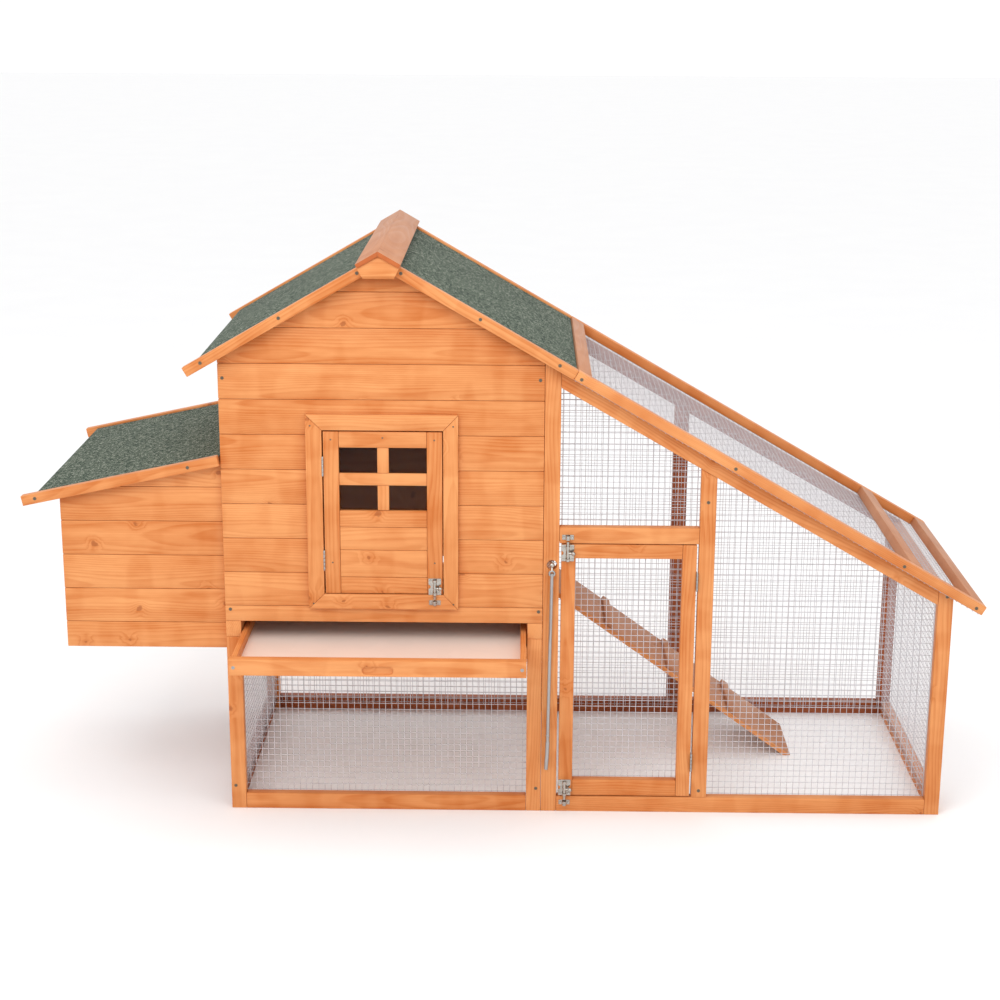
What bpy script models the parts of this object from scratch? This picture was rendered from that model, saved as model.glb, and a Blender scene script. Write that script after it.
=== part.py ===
"""A small wooden chicken coop: a raised house with a nest box, a wire run under a long roof,
a ramp, a pull-out dropping tray, two latched doors and a sliding pop-hole door.

Sizes are in metres. Until the end of the script the coop stands with its front left post at the
origin: x runs along the front, y runs back from the front faces, and z is up from the ground.
"""

import math

import bmesh
import bpy
from mathutils import Vector

# Timber
GAP = 0.0003  # air between pieces that touch
EASED = 0.0012  # eased edge of a planed board
POST = 0.030
BOARD = 0.020
RAIL = 0.033
PLANK = 0.012
PLANK_PITCH = 0.0703
GROOVE = 0.003
LAP = 0.002  # how far pieces that a Boolean joins reach into each other

# Plan and heights
LENGTH = 1.450
DEPTH = 0.570
HOUSE = 0.634
TALL_POST = (0.6343, 0.6657)
MID_POST = (0.9420, 0.9730)
BACK_MID_POST = (0.9310, 0.9630)
BACK = DEPTH - BOARD
LOWER_RAIL = (0.323, 0.356)
STUB_TOP = 0.406
GUIDE = 0.030  # boards beside and behind the tray, under the house
GUIDE_LAP = 0.001
HOUSE_FLOOR = STUB_TOP + RAIL
SIDE_WALL_TOP = 0.9460
MID_RAIL = (0.574, 0.607)

# Roof: heights are measured square to the slope from the top of the edge boards
RIDGE = (0.317, 1.146)
SLOPE = math.radians(30)
ROOF_Y = (-0.028, 0.594)
EDGE_BOARD = (0.018, 0.020)
FELT_DROP = 0.004
ROOF_BOARD = 0.010
ROOF_SEAM = 0.0005
PANEL_LAP = 0.010  # how far a felted board reaches into its edge boards
HOUSE_ROOF = 0.4400
EAVE_TAIL = 0.028
RUN_ROOF_END = 1.3776
RUN_RAIL = (0.022, 0.019)
CROSS_STARTS = (HOUSE_ROOF + 0.001, 1.2035, 1.3470)
CROSS = 0.030
CAP = (0.048, 0.0085)
CAP_Y = (-0.052, 0.613)
CAP_BLOCK = (0.079, 0.043, 0.020)
CAP_BLOCK_BACK = 0.0035  # behind the front end of the cap boards
CAP_BLOCK_TAPER = 0.010

# Wire mesh: one bar stands for eight wires, at nearly the mass of the real sheet
WIRE = 0.0023
WIRE_PITCH = 0.1016
WIRE_LAP = 0.016
WIRE_INSET = 0.004  # how far a sheet stops short of the corner that it is stapled in
ROD_HOLE_LAP = 0.0035  # beside the tall post, where the sheet stays clear of the rod's hole

# Nest box
NEST_X = (-0.323, 0.0)
NEST_Y = (0.012, 0.558)
NEST_BOTTOM = 0.345
NEST_SEAM = 0.0401  # how far its seams lie below those of the house
NEST_HINGE = (-0.004, 0.748)
NEST_SLOPE = math.atan2(0.084, 0.390)
NEST_LID = 0.399
NEST_LID_GAP = 0.0012
NEST_LID_Y = (-0.012, 0.584)
NEST_HOLE = (0.200, 0.240)
NEST_HOLE_Y = (0.065, 0.305)

# House door
TRIM_OUT = ((0.1686, 0.437), (0.466, 0.833))
TRIM_IN = ((0.200, 0.4675), (0.437, 0.802))
TRIM_PROUD = 0.010
LEAF = ((0.2025, 0.469), (0.435, 0.799))
LEAF_Y = (-0.008, 0.010)
PANE_ROWS = ((0.640, 0.691), (0.7155, 0.767))
PANE_COLUMNS = ((0.233, 0.308), (0.3305, 0.4045))
PANE = 0.002
PANE_LAP = 0.008
HOUSE_HINGE = (0.2012, -0.010)

# Run door
RUN_DOOR = ((0.670, 0.0355), (0.938, 0.572))
RUN_STILE = 0.028
RUN_HINGE = (0.9395, -0.004)
RUN_DOOR_RAILS = (0.034, 0.029)  # the low one and the top one

# Latches: plate, rod and guides
HOUSE_LATCH = (0.4195, 0.4845)  # the middle of its plate, along and up
RUN_LATCH = (0.6825, 0.0175)  # along, and in from the top or the foot of the door
LATCH_PLATE = (0.025, 0.034, 0.0012)
LATCH_ROD = 0.0030
LATCH_BORE = 0.0036
LATCH_GUIDE = (0.012, 0.006, 0.010)
LATCH_KNOB = (0.0035, 0.011)
LATCH_REACH = 0.0075
GUIDE_INSET = 0.001
BOLT_TAIL = 0.004
KNOB_RISE = 0.0015
KNOB_LEAN = 0.004

# Tray
TRAY_X = (0.0315, 0.6025)
TRAY_Z = (0.3575, 0.390)
TRAY_LENGTH = 0.540
TRAY_OUT = 0.180
TRAY_SIDE = 0.012
TRAY_STEP = 0.001  # how far the sides stand in from the ends of the front board
TRAY_LIP = 0.004  # how far the front board stands above the sides
TRAY_SHEET = (0.366, 0.0012)
SLOT = (0.060, 0.016)
SLOT_RISE = -0.004
SLOT_DEPTH = 0.006

# Pop-hole, ramp, pull rod and perch
POP_HOLE = ((0.298, 0.445), (0.488, 0.690))
POP_DOOR = ((0.070, 0.430), (0.278, 0.712))
POP_DOOR_THICK = 0.008
RAMP_Y = (0.302, 0.485)
RAMP_TOP = (0.6480, 0.3900)
RAMP_FOOT = 1.188
RAMP = 0.010
CLEAT = (0.018, 0.008)
CLEAT_STARTS = (0.152, 0.321, 0.490)  # along the ramp from its hinge
CLEAT_INSET = 0.003
ROD_HOLE = (0.6516, 0.529, 0.010)
ROD = 0.0033
ROD_OUT = 0.0088  # how far the rod's axis stands in front of the post, so that its eye can turn
ROD_EYE = (0.0075, 0.0056)  # radius and thickness
ROD_GRIP = (0.0047, 0.071)  # radius and length
ROD_Z = (0.095, 0.514)
PERCH_AT = (0.570, 0.560)
PERCH = 0.025


def clear_scene():
    for left_over in list(bpy.data.objects):
        bpy.data.objects.remove(left_over, do_unlink=True)


def finish(name, colour, roughness, metallic=0.0):
    """A plain Principled material."""
    material = bpy.data.materials.new(name)
    material.use_nodes = True
    shader = material.node_tree.nodes["Principled BSDF"]
    shader.inputs["Base Color"].default_value = (*colour, 1.0)
    shader.inputs["Roughness"].default_value = roughness
    shader.inputs["Metallic"].default_value = metallic
    return material


def empty(name, place=(0.0, 0.0, 0.0), parent=None):
    joint = bpy.data.objects.new(name, None)
    bpy.context.scene.collection.objects.link(joint)
    joint.location = place
    joint.parent = parent
    return joint


def add_piece(name, mesh, material, place, turn=0.0, eased=0.0):
    """Puts a mesh in the scene at a place in the coop, turned about y, under the coop's empty."""
    piece = bpy.data.objects.new(name, mesh)
    bpy.context.scene.collection.objects.link(piece)
    piece.location = place
    piece.rotation_euler = (0.0, turn, 0.0)
    piece.parent = coop
    mesh.materials.append(material)
    if eased:
        bevel = piece.modifiers.new("eased edges", "BEVEL")
        bevel.width = eased
        bevel.segments = 1
        bevel.limit_method = "ANGLE"
        bevel.angle_limit = math.radians(25)
    return piece


def block_mesh(name, size):
    mesh = bpy.data.meshes.new(name)
    shape = bmesh.new()
    bmesh.ops.create_cube(shape, size=1.0)
    bmesh.ops.scale(shape, vec=size, verts=shape.verts)
    shape.to_mesh(mesh)
    shape.free()
    return mesh


def slope_point(anchor, turn, local):
    """A point of a sloping part, from its distance down the slope, its y and its height off it."""
    along, y, up = local
    x = anchor[0] + along * math.cos(turn) + up * math.sin(turn)
    z = anchor[1] - along * math.sin(turn) + up * math.cos(turn)
    return Vector((x, y, z))


def board(name, low, high, material, anchor=None, turn=0.0, eased=EASED):
    """A board between two corners, in the coop's own axes or along a slope from an anchor."""
    low, high = Vector(low), Vector(high)
    middle = (low + high) / 2
    place = slope_point(anchor, turn, middle) if anchor else middle
    return add_piece(name, block_mesh(name, high - low), material, place, turn, eased)


def slab_mesh(name, outline, holes, plane, thickness):
    """A flat outline with holes, drawn in a plane and given its thickness along the third axis."""
    lift = {
        "xz": lambda u, v: (u, 0.0, v),
        "yz": lambda u, v: (0.0, u, v),
        "xy": lambda u, v: (u, v, 0.0),
    }[plane]
    away = {"xz": (0.0, 1.0, 0.0), "yz": (1.0, 0.0, 0.0), "xy": (0.0, 0.0, 1.0)}[plane]
    shape = bmesh.new()
    edges = []
    for loop in (outline, *holes):
        corners = [shape.verts.new(lift(u, v)) for u, v in loop]
        for index, corner in enumerate(corners):
            edges.append(shape.edges.new((corners[index - 1], corner)))
    bmesh.ops.triangle_fill(shape, edges=edges, use_beauty=True)
    grown = bmesh.ops.extrude_face_region(shape, geom=shape.faces[:])
    moved = [item for item in grown["geom"] if isinstance(item, bmesh.types.BMVert)]
    bmesh.ops.translate(shape, verts=moved, vec=Vector(away) * thickness)
    bmesh.ops.recalc_face_normals(shape, faces=shape.faces)
    mesh = bpy.data.meshes.new(name)
    shape.to_mesh(mesh)
    shape.free()
    return mesh


def slab(name, outline, plane, start, thickness, material, holes=(), eased=0.0):
    """A flat piece whose near face lies at start along the third axis."""
    place = {"xz": (0, start, 0), "yz": (start, 0, 0), "xy": (0, 0, start)}[plane]
    mesh = slab_mesh(name, outline, holes, plane, thickness)
    return add_piece(name, mesh, material, place, eased=eased)


def rectangle(low, high):
    return [(low[0], low[1]), (high[0], low[1]), (high[0], high[1]), (low[0], high[1])]


def circle(centre, radius, sides):
    steps = [2 * math.pi * index / sides for index in range(sides)]
    return [(centre[0] + radius * math.cos(a), centre[1] + radius * math.sin(a)) for a in steps]


def combine(piece, tool, operation):
    """Joins or cuts with another object, which then stays as a hidden helper."""
    tool.hide_render = True
    tool.display_type = "WIRE"
    change = piece.modifiers.new(tool.name, "BOOLEAN")
    change.operation = operation
    change.solver = "EXACT"
    change.object = tool
    ease = piece.modifiers.find("eased edges")
    if ease >= 0:
        piece.modifiers.move(ease, len(piece.modifiers) - 1)


def carry(hinge, *pieces):
    """Hangs pieces on a joint's empty without moving them."""
    for piece in pieces:
        piece.location = Vector(piece.location) - Vector(hinge.location)
        piece.parent = hinge


def roof_z(x, drop):
    """Height of a line that runs a given drop, square to the slope, under the roof's edge."""
    return RIDGE[1] - abs(x - RIDGE[0]) * math.tan(SLOPE) - drop / math.cos(SLOPE)


def seams(low, high):
    """Heights of the plank joints of the house, which all line up with its floor rail."""
    first = math.ceil((low - HOUSE_FLOOR) / PLANK_PITCH + 0.1)
    last = math.floor((high - HOUSE_FLOOR) / PLANK_PITCH - 0.1)
    return [HOUSE_FLOOR + index * PLANK_PITCH for index in range(first, last + 1)]


def groove(wall, heights, low, high, face, plane):
    """Cuts a shallow V along each plank joint of a wall's outer face."""
    tool = bmesh.new()
    for height in heights:
        along_x = plane == "xz"
        corners = []
        for end in (low - GROOVE, high + GROOVE):
            for off, up in ((-GROOVE, 2.0 * GROOVE), (-GROOVE, -2.0 * GROOVE), (GROOVE, 0.0)):
                depth = face[0] + off * face[1]
                at = (end, depth, height + up) if along_x else (depth, end, height + up)
                corners.append(tool.verts.new(at))
        first, second = corners[:3], corners[3:]
        tool.faces.new(first)
        tool.faces.new(second)
        for index in range(3):
            after = (index + 1) % 3
            tool.faces.new((first[index], first[after], second[after], second[index]))
    bmesh.ops.recalc_face_normals(tool, faces=tool.faces)
    mesh = bpy.data.meshes.new(wall.name + "_grooves")
    tool.to_mesh(mesh)
    tool.free()
    cutter = add_piece(wall.name + "_grooves", mesh, pine, (0, 0, 0))
    combine(wall, cutter, "DIFFERENCE")


def clipped(cell, outline, margin):
    """The part of a cell that lies inside a convex outline, a margin in from its edges."""
    for index, start in enumerate(outline):
        end = outline[(index + 1) % len(outline)]
        side = Vector((end[0] - start[0], end[1] - start[1])).normalized()
        inward = Vector((-side[1], side[0]))

        def depth(point):
            return (Vector(point) - Vector(start)).dot(inward) - margin

        kept = []
        for here, there in zip(cell, cell[1:] + cell[:1]):
            a, b = depth(here), depth(there)
            if a >= 0:
                kept.append(tuple(here))
            if (a < 0) != (b < 0):
                kept.append(tuple(Vector(here).lerp(Vector(there), a / (a - b))))
        cell = kept
        if len(cell) < 3:
            return []
    return cell


def without_short_sides(cell):
    return [
        here
        for here, before in zip(cell, cell[-1:] + cell[:-1])
        if (Vector(here) - Vector(before)).length > WIRE / 2
    ]


def area(cell):
    turns = zip(cell, cell[1:] + cell[:1])
    return 0.5 * sum(a[0] * b[1] - b[0] * a[1] for a, b in turns)


def wire_holes(outline, anchor, left_out=None):
    """Square cells of the mesh inside a convex outline that runs anticlockwise."""
    low = [min(point[axis] for point in outline) for axis in (0, 1)]
    high = [max(point[axis] for point in outline) for axis in (0, 1)]
    first = [math.floor((low[axis] - anchor[axis]) / WIRE_PITCH) for axis in (0, 1)]
    last = [math.ceil((high[axis] - anchor[axis]) / WIRE_PITCH) for axis in (0, 1)]
    smallest = (4 * WIRE) ** 2
    cells = []
    for column in range(first[0], last[0]):
        for row in range(first[1], last[1]):
            corner = (anchor[0] + column * WIRE_PITCH, anchor[1] + row * WIRE_PITCH)
            far = (corner[0] + WIRE_PITCH, corner[1] + WIRE_PITCH)
            centre = (corner[0] + WIRE_PITCH / 2, corner[1] + WIRE_PITCH / 2)
            if left_out and all(left_out[0][k] < centre[k] < left_out[1][k] for k in (0, 1)):
                continue
            inner = rectangle(
                (corner[0] + WIRE / 2, corner[1] + WIRE / 2),
                (far[0] - WIRE / 2, far[1] - WIRE / 2),
            )
            cell = without_short_sides(clipped(inner, outline, WIRE))
            if len(cell) > 2 and area(cell) > smallest:
                cells.append(cell)
    return cells


def wire_panel(name, outline, plane, start, anchor=None, border=None, left_out=None):
    """A sheet of mesh; one with a corner left out has a border that goes round that corner."""
    anchor = anchor or (outline[0][0] + WIRE / 2, outline[0][1] + WIRE / 2)
    holes = wire_holes(outline, anchor, left_out)
    return slab(name, border or outline, plane, start, WIRE, wire, holes)


def build_posts():
    """The uprights of the base and the run, front and back."""
    fronts = ((0.0, POST), (HOUSE - POST, HOUSE - GAP))
    for name, (left, right) in zip(("post_front_left", "post_front_inner"), fronts):
        board(name, (left, 0, 0), (right, BOARD, STUB_TOP), pine)
    tall = [
        (TALL_POST[0], 0.0),
        (TALL_POST[1], 0.0),
        (TALL_POST[1], roof_z(TALL_POST[1], UNDER_HOUSE_ROOF)),
        (TALL_POST[0], roof_z(TALL_POST[0], UNDER_HOUSE_ROOF)),
    ]
    hole = circle(ROD_HOLE[:2], ROD_HOLE[2], 24)
    slab("post_tall_front", tall, "xz", 0.0, BOARD, pine, [hole], EASED)
    tall[0], tall[1] = (tall[0][0], RAIL + GAP), (tall[1][0], RAIL + GAP)
    slab("post_tall_back", tall, "xz", BACK, BOARD, pine, eased=EASED)
    for name, (left, right), y in (
        ("post_mid_front", MID_POST, 0.0),
        ("post_mid_back", BACK_MID_POST, BACK),
    ):
        outline = [
            (left, RAIL + GAP),
            (right, RAIL + GAP),
            (right, roof_z(right, SLANT_LOW) - GAP),
            (left, roof_z(left, SLANT_LOW) - GAP),
        ]
        slab(name, outline, "xz", y, BOARD, pine, eased=EASED)
    right_post = (LENGTH - POST, LENGTH)
    for name, y in (("post_right_front", 0.0), ("post_right_back", BACK)):
        outline = [
            (right_post[0], 0.0),
            (right_post[1], 0.0),
            (right_post[1], roof_z(right_post[1], UNDER_RUN_ROOF)),
            (right_post[0], roof_z(right_post[0], UNDER_RUN_ROOF)),
        ]
        slab(name, outline, "xz", y, BOARD, pine, eased=EASED)
    board("post_back_left", (0, BACK, 0), (POST, DEPTH, STUB_TOP), pine)


def build_rails():
    """The rails between the posts."""
    inner = HOUSE - POST - GAP
    board("rail_front_house_base", (POST + GAP, 0, 0), (inner, BOARD, RAIL), pine)
    run_left, run_right = TALL_POST[1] + GAP, LENGTH - POST - GAP
    board("rail_front_run_base", (run_left, 0, 0), (run_right, BOARD, RAIL), pine)
    middle = (run_left, MID_POST[0] - GAP)
    board("rail_front_run_mid", (middle[0], 0, MID_RAIL[0]), (middle[1], BOARD, MID_RAIL[1]), pine)
    board("rail_back_base", (POST + GAP, BACK, 0), (run_right, DEPTH, RAIL), pine)
    slant = [
        (run_left, roof_z(run_left, SLANT_LOW)),
        (run_right, roof_z(run_right, SLANT_LOW)),
        (run_right, roof_z(run_right, UNDER_RUN_ROOF)),
        (run_left, roof_z(run_left, UNDER_RUN_ROOF)),
    ]
    slab("rail_front_slant", slant, "xz", 0.0, BOARD, pine, eased=EASED)
    slab("rail_back_slant", slant, "xz", BACK, BOARD, pine, eased=EASED)
    side = (BOARD + GAP, BACK - GAP)
    end = LENGTH - BOARD
    board("rail_right_base", (end, side[0], 0), (LENGTH, side[1], RAIL), pine)
    top = roof_z(LENGTH, UNDER_RUN_ROOF)
    board("rail_right_top", (end, side[0], top - RAIL), (LENGTH, side[1], top), pine)
    board("rail_left_base", (0, side[0], 0), (BOARD, side[1], RAIL), pine)


def build_house_frames():
    """The ring that the tray slides on, and the ring that the house stands on."""
    low, high = LOWER_RAIL
    runner = POST + 0.014
    ring = [(POST + GAP, 0.0), (HOUSE - POST - GAP, 0.0)]
    ring += [(HOUSE - POST - GAP, BOARD + GAP), (HOUSE - GAP, BOARD + GAP)]
    ring += [(HOUSE - GAP, BACK - GAP), (HOUSE - POST - GAP, BACK - GAP)]
    ring += [(HOUSE - POST - GAP, DEPTH), (POST + GAP, DEPTH), (POST + GAP, BACK - GAP)]
    ring += [(0.0, BACK - GAP), (0.0, BOARD + GAP), (POST + GAP, BOARD + GAP)]
    opening = rectangle((runner, BOARD), (HOUSE - runner, BACK))
    slab("tray_support_frame", ring, "xy", low, high - low, pine, [opening], EASED)

    base = rectangle((0.0, 0.0), (HOUSE - GAP, DEPTH))
    inside = rectangle((PLANK, BOARD), (HOUSE - PLANK - GAP, BACK))
    floor_ring = slab(
        "house_base_frame", base, "xy", STUB_TOP + GAP, RAIL - 2 * GAP, pine, [inside], EASED
    )
    low, high = STUB_TOP - GUIDE, HOUSE_FLOOR - GAP * 2
    inner, outer = POST, HOUSE - GAP - POST
    for name, near, far in (
        ("left_guide", (0.0, BOARD + GAP), (inner, BACK - GAP)),
        ("right_guide", (outer, BOARD + GAP), (HOUSE - GAP, BACK - GAP)),
        ("back_guide", (inner + GAP, BACK - GUIDE_LAP), (outer - GAP, DEPTH - GAP)),
    ):
        guide = board(name, (*near, low), (*far, high), pine, eased=0.0)
        combine(floor_ring, guide, "UNION")


def build_walls():
    """Four plank walls of the house."""
    top = UNDER_HOUSE_ROOF
    floor = HOUSE_FLOOR + GAP
    left, right = 0.0, HOUSE - GAP
    gable = [
        (left, floor),
        (right, floor),
        (right, roof_z(right, top)),
        (RIDGE[0], roof_z(RIDGE[0], top)),
        (left, roof_z(left, top)),
    ]
    door = rectangle(*TRIM_IN)
    front = slab("wall_front", gable, "xz", 0.0, PLANK, pine, [door])
    back = slab("wall_back", gable, "xz", DEPTH - PLANK, PLANK, pine)
    heights = seams(floor, RIDGE[1] - 0.05)
    groove(front, heights, left, right, (0.0, 1), "xz")
    groove(back, heights, left, right, (DEPTH, -1), "xz")
    side = rectangle((PLANK + GAP, floor), (DEPTH - PLANK - GAP, SIDE_WALL_TOP))
    nest_holes = [
        rectangle((y, HOUSE_FLOOR + 0.012), (y + NEST_HOLE[0], HOUSE_FLOOR + 0.012 + NEST_HOLE[1]))
        for y in NEST_HOLE_Y
    ]
    left_wall = slab("wall_left", side, "yz", 0.0, PLANK, pine, nest_holes)
    right_wall = slab(
        "wall_right", side, "yz", HOUSE - GAP - PLANK, PLANK, pine, [rectangle(*POP_HOLE)]
    )
    heights = seams(floor, SIDE_WALL_TOP)
    groove(left_wall, heights, 0.0, DEPTH, (0.0, 1), "yz")
    groove(right_wall, heights, 0.0, DEPTH, (HOUSE - GAP, -1), "yz")


def build_house_roof():
    """Each roof panel is a felted board between two edge boards, which reach past its eave."""
    start = EDGE_BOARD[1] * math.tan(SLOPE) + ROOF_SEAM
    for side, turn in ((-1, -SLOPE), (1, SLOPE)):
        name = "roof_panel_left" if side < 0 else "roof_panel_right"
        board_end = HOUSE_ROOF - EAVE_TAIL if side < 0 else HOUSE_ROOF
        ends = sorted((side * (start + ROOF_SEAM), side * (board_end - ROOF_SEAM)))
        panel = board(
            name,
            (ends[0], ROOF_Y[0] + PANEL_LAP, -FELT_DROP - ROOF_BOARD),
            (ends[1], ROOF_Y[1] - PANEL_LAP, -FELT_DROP),
            felt,
            RIDGE,
            turn,
            eased=0.0,
        )
        ends = sorted((side * start, side * HOUSE_ROOF))
        for index, y in enumerate((ROOF_Y[0], ROOF_Y[1] - EDGE_BOARD[0])):
            edge = board(
                f"{name}_edge_{index}",
                (ends[0], y, -EDGE_BOARD[1]),
                (ends[1], y + EDGE_BOARD[0], 0),
                pine,
                RIDGE,
                turn,
                eased=0.0,
            )
            combine(panel, edge, "UNION")


def build_ridge_cap():
    """Two boards meet over the ridge, with a five-sided block nailed under their front end."""
    width, thickness = CAP
    half = []
    for along, up in ((0.0, GAP), (width, GAP), (width, thickness + GAP), (0.0, thickness + GAP)):
        half.append(slope_point(RIDGE, SLOPE, (along, 0.0, up)))
    mirror = 2 * RIDGE[0]
    peak_low = (RIDGE[0], RIDGE[1] + GAP / math.cos(SLOPE))
    peak_high = (RIDGE[0], peak_low[1] + thickness / math.cos(SLOPE))
    right = [(half[1].x, half[1].z), (half[2].x, half[2].z)]
    left = [(mirror - x, z) for x, z in reversed(right)]
    outline = [peak_low, *right, peak_high, *left]
    cap = slab("ridge_cap", outline, "xz", CAP_Y[0], CAP_Y[1] - CAP_Y[0], pine_pale)
    block_width, block_height, block_depth = CAP_BLOCK
    shoulder = roof_z(RIDGE[0] + block_width / 2, 0.0)
    foot = RIDGE[1] - block_height
    pentagon = [
        (RIDGE[0], RIDGE[1] + LAP),
        (RIDGE[0] - block_width / 2, shoulder + LAP),
        (RIDGE[0] - block_width / 2 + CAP_BLOCK_TAPER, foot),
        (RIDGE[0] + block_width / 2 - CAP_BLOCK_TAPER, foot),
        (RIDGE[0] + block_width / 2, shoulder + LAP),
    ]
    block = slab("ridge_block", pentagon, "xz", CAP_Y[0] + CAP_BLOCK_BACK, block_depth, pine)
    combine(cap, block, "UNION")


def build_run_roof():
    """The run's roof is an open frame along the slope, with wire mesh stapled under it."""
    width, height = RUN_RAIL
    start = HOUSE_ROOF + GAP * 2
    rows = {
        "roof_rail_front": (ROOF_Y[0], ROOF_Y[0] + width),
        "roof_rail_back": (ROOF_Y[1] - width, ROOF_Y[1]),
    }
    for name, (near, far) in rows.items():
        board(name, (start, near, -height), (RUN_ROOF_END, far, 0), pine, RIDGE, SLOPE)
    near = ROOF_Y[0] + width + GAP
    far = ROOF_Y[1] - width - GAP
    for name, along in zip(("top", "low", "end"), CROSS_STARTS):
        board(
            f"roof_cross_{name}",
            (along + GAP, near, -height),
            (along + CROSS, far, 0),
            pine_pale,
            RIDGE,
            SLOPE,
        )
    outline = rectangle(
        (start, ROOF_Y[0] + WIRE_INSET), (RUN_ROOF_END - WIRE_INSET, ROOF_Y[1] - WIRE_INSET)
    )
    mesh = wire_panel("mesh_roof", outline, "xy", 0.0)
    mesh.location = slope_point(RIDGE, SLOPE, (0.0, 0.0, -height - GAP - WIRE))
    mesh.rotation_euler = (0.0, SLOPE, 0.0)


def build_nest_box():
    """A plank box on the house's left side, with a felted lid hinged at the house wall."""
    left = NEST_X[0]
    right = NEST_X[1] - GAP
    drop = FELT_DROP + ROOF_BOARD + GAP

    def under_lid(x):
        fall = (NEST_HINGE[0] - x) * math.tan(NEST_SLOPE)
        return NEST_HINGE[1] - fall - drop / math.cos(NEST_SLOPE)

    floor_top = NEST_BOTTOM + PLANK
    cheek = [
        (left, NEST_BOTTOM),
        (right, NEST_BOTTOM),
        (right, under_lid(right)),
        (left, under_lid(left)),
    ]
    heights = [HOUSE_FLOOR + index * PLANK_PITCH - NEST_SEAM for index in range(4)]
    front = slab("nest_wall_front", cheek, "xz", NEST_Y[0], PLANK, pine)
    back = slab("nest_wall_back", cheek, "xz", NEST_Y[1] - PLANK, PLANK, pine)
    groove(front, heights, left, right, (NEST_Y[0], 1), "xz")
    groove(back, heights, left, right, (NEST_Y[1], -1), "xz")
    inside = (NEST_Y[0] + PLANK + GAP, NEST_Y[1] - PLANK - GAP)
    end_wall = rectangle((inside[0], NEST_BOTTOM), (inside[1], under_lid(left)))
    end = slab("nest_wall_end", end_wall, "yz", left, PLANK, pine)
    groove(end, heights, inside[0], inside[1], (left, 1), "yz")
    board(
        "nest_floor",
        (left + PLANK + GAP, inside[0], NEST_BOTTOM),
        (right, inside[1], floor_top),
        pine_inside,
        eased=0.0,
    )
    build_nest_lid()


def build_nest_lid():
    """A felted board between two edge boards, which reach past its low end."""
    hinge = empty("nest_lid_hinge", (NEST_HINGE[0], 0.0, NEST_HINGE[1]), coop)
    near, far = NEST_LID_Y
    lid = board(
        "nest_lid",
        (-(NEST_LID - EAVE_TAIL), near + PANEL_LAP, -FELT_DROP - ROOF_BOARD),
        (-NEST_LID_GAP - ROOF_SEAM, far - PANEL_LAP, -FELT_DROP),
        felt,
        NEST_HINGE,
        -NEST_SLOPE,
        eased=0.0,
    )
    carry(hinge, lid)
    for index, y in enumerate((near, far - EDGE_BOARD[0])):
        edge = board(
            f"nest_lid_edge_{index}",
            (-NEST_LID, y, -EDGE_BOARD[1]),
            (-NEST_LID_GAP, y + EDGE_BOARD[0], 0),
            pine,
            NEST_HINGE,
            -NEST_SLOPE,
            eased=0.0,
        )
        combine(lid, edge, "UNION")


def build_wire_mesh():
    """Sheets of welded mesh stapled to the back of the frames."""
    lap = WIRE_LAP
    behind = BOARD + GAP
    before = BACK - GAP - WIRE
    lower_top = LOWER_RAIL[0] - GAP
    base = (BOARD + 2 * GAP, RAIL - lap)
    front = rectangle(base, (HOUSE - POST + lap, lower_top))
    wire_panel("mesh_front_house", front, "xz", behind)

    left, right = TALL_POST[1] - ROD_HOLE_LAP, LENGTH - BOARD - 2 * GAP - WIRE
    bottom = base[1]
    run = [
        (left, bottom),
        (right, bottom),
        (right, roof_z(right, SLANT_LOW - lap)),
        (left, roof_z(left, SLANT_LOW - lap)),
    ]
    corner = (MID_POST[0] + lap, MID_RAIL[1] - lap)
    edge = (corner[0] - WIRE / 2, corner[1] - WIRE / 2)
    border = [(left, edge[1]), edge, (edge[0], bottom), *run[1:]]
    wire_panel("mesh_front_run", run, "xz", behind, corner, border, ((-1.0, -1.0), edge))

    left = base[0]
    wall = HOUSE + 0.007
    above = roof_z(wall, SLANT_LOW - lap)
    whole = [(left, bottom), (right, bottom), run[2], (wall, above), (left, above)]
    edge = (wall + WIRE / 2, lower_top - WIRE / 2)
    border = [(left, bottom), (right, bottom), run[2], (wall, above)]
    border += [(wall, lower_top), (left, lower_top)]
    anchor = (wall + WIRE / 2, lower_top - WIRE / 2)
    wire_panel("mesh_back", whole, "xz", before, anchor, border, ((-1.0, edge[1]), (edge[0], 2.0)))
    sides = (BOARD + WIRE_INSET, BACK - WIRE_INSET)
    inside_left = rectangle((sides[0], base[1]), (sides[1], lower_top))
    wire_panel("mesh_left", inside_left, "yz", BOARD + GAP)
    top = roof_z(LENGTH, UNDER_RUN_ROOF) - 0.010
    inside_right = rectangle((sides[0], base[1]), (sides[1], top))
    wire_panel("mesh_right", inside_right, "yz", LENGTH - BOARD - GAP - WIRE)


def build_house_door():
    """A mitred trim round the opening, and a framed leaf with a four-pane window."""
    slab(
        "door_trim",
        rectangle(*TRIM_OUT),
        "xz",
        -TRIM_PROUD - GAP,
        TRIM_PROUD,
        pine,
        [rectangle(*TRIM_IN)],
        EASED,
    )
    windows = [
        rectangle((left, low), (right, high))
        for left, right in PANE_COLUMNS
        for low, high in PANE_ROWS
    ]
    thickness = LEAF_Y[1] - LEAF_Y[0]
    leaf = slab("house_door", rectangle(*LEAF), "xz", LEAF_Y[0], thickness, pine, windows, EASED)
    low = (PANE_COLUMNS[0][0] - PANE_LAP, PANE_ROWS[0][0] - PANE_LAP)
    high = (PANE_COLUMNS[1][1] + PANE_LAP, PANE_ROWS[1][1] + PANE_LAP)
    pane = slab("window_pane", rectangle(low, high), "xz", LEAF_Y[1] + GAP, PANE, glass)
    x, z = HOUSE_LATCH
    case, bolt = build_latch("house_latch", (x, LEAF_Y[0], z), -1)
    hinge = empty("house_door_hinge", (*HOUSE_HINGE, 0.0), coop)
    carry(hinge, leaf, pane, case, bolt)


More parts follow.
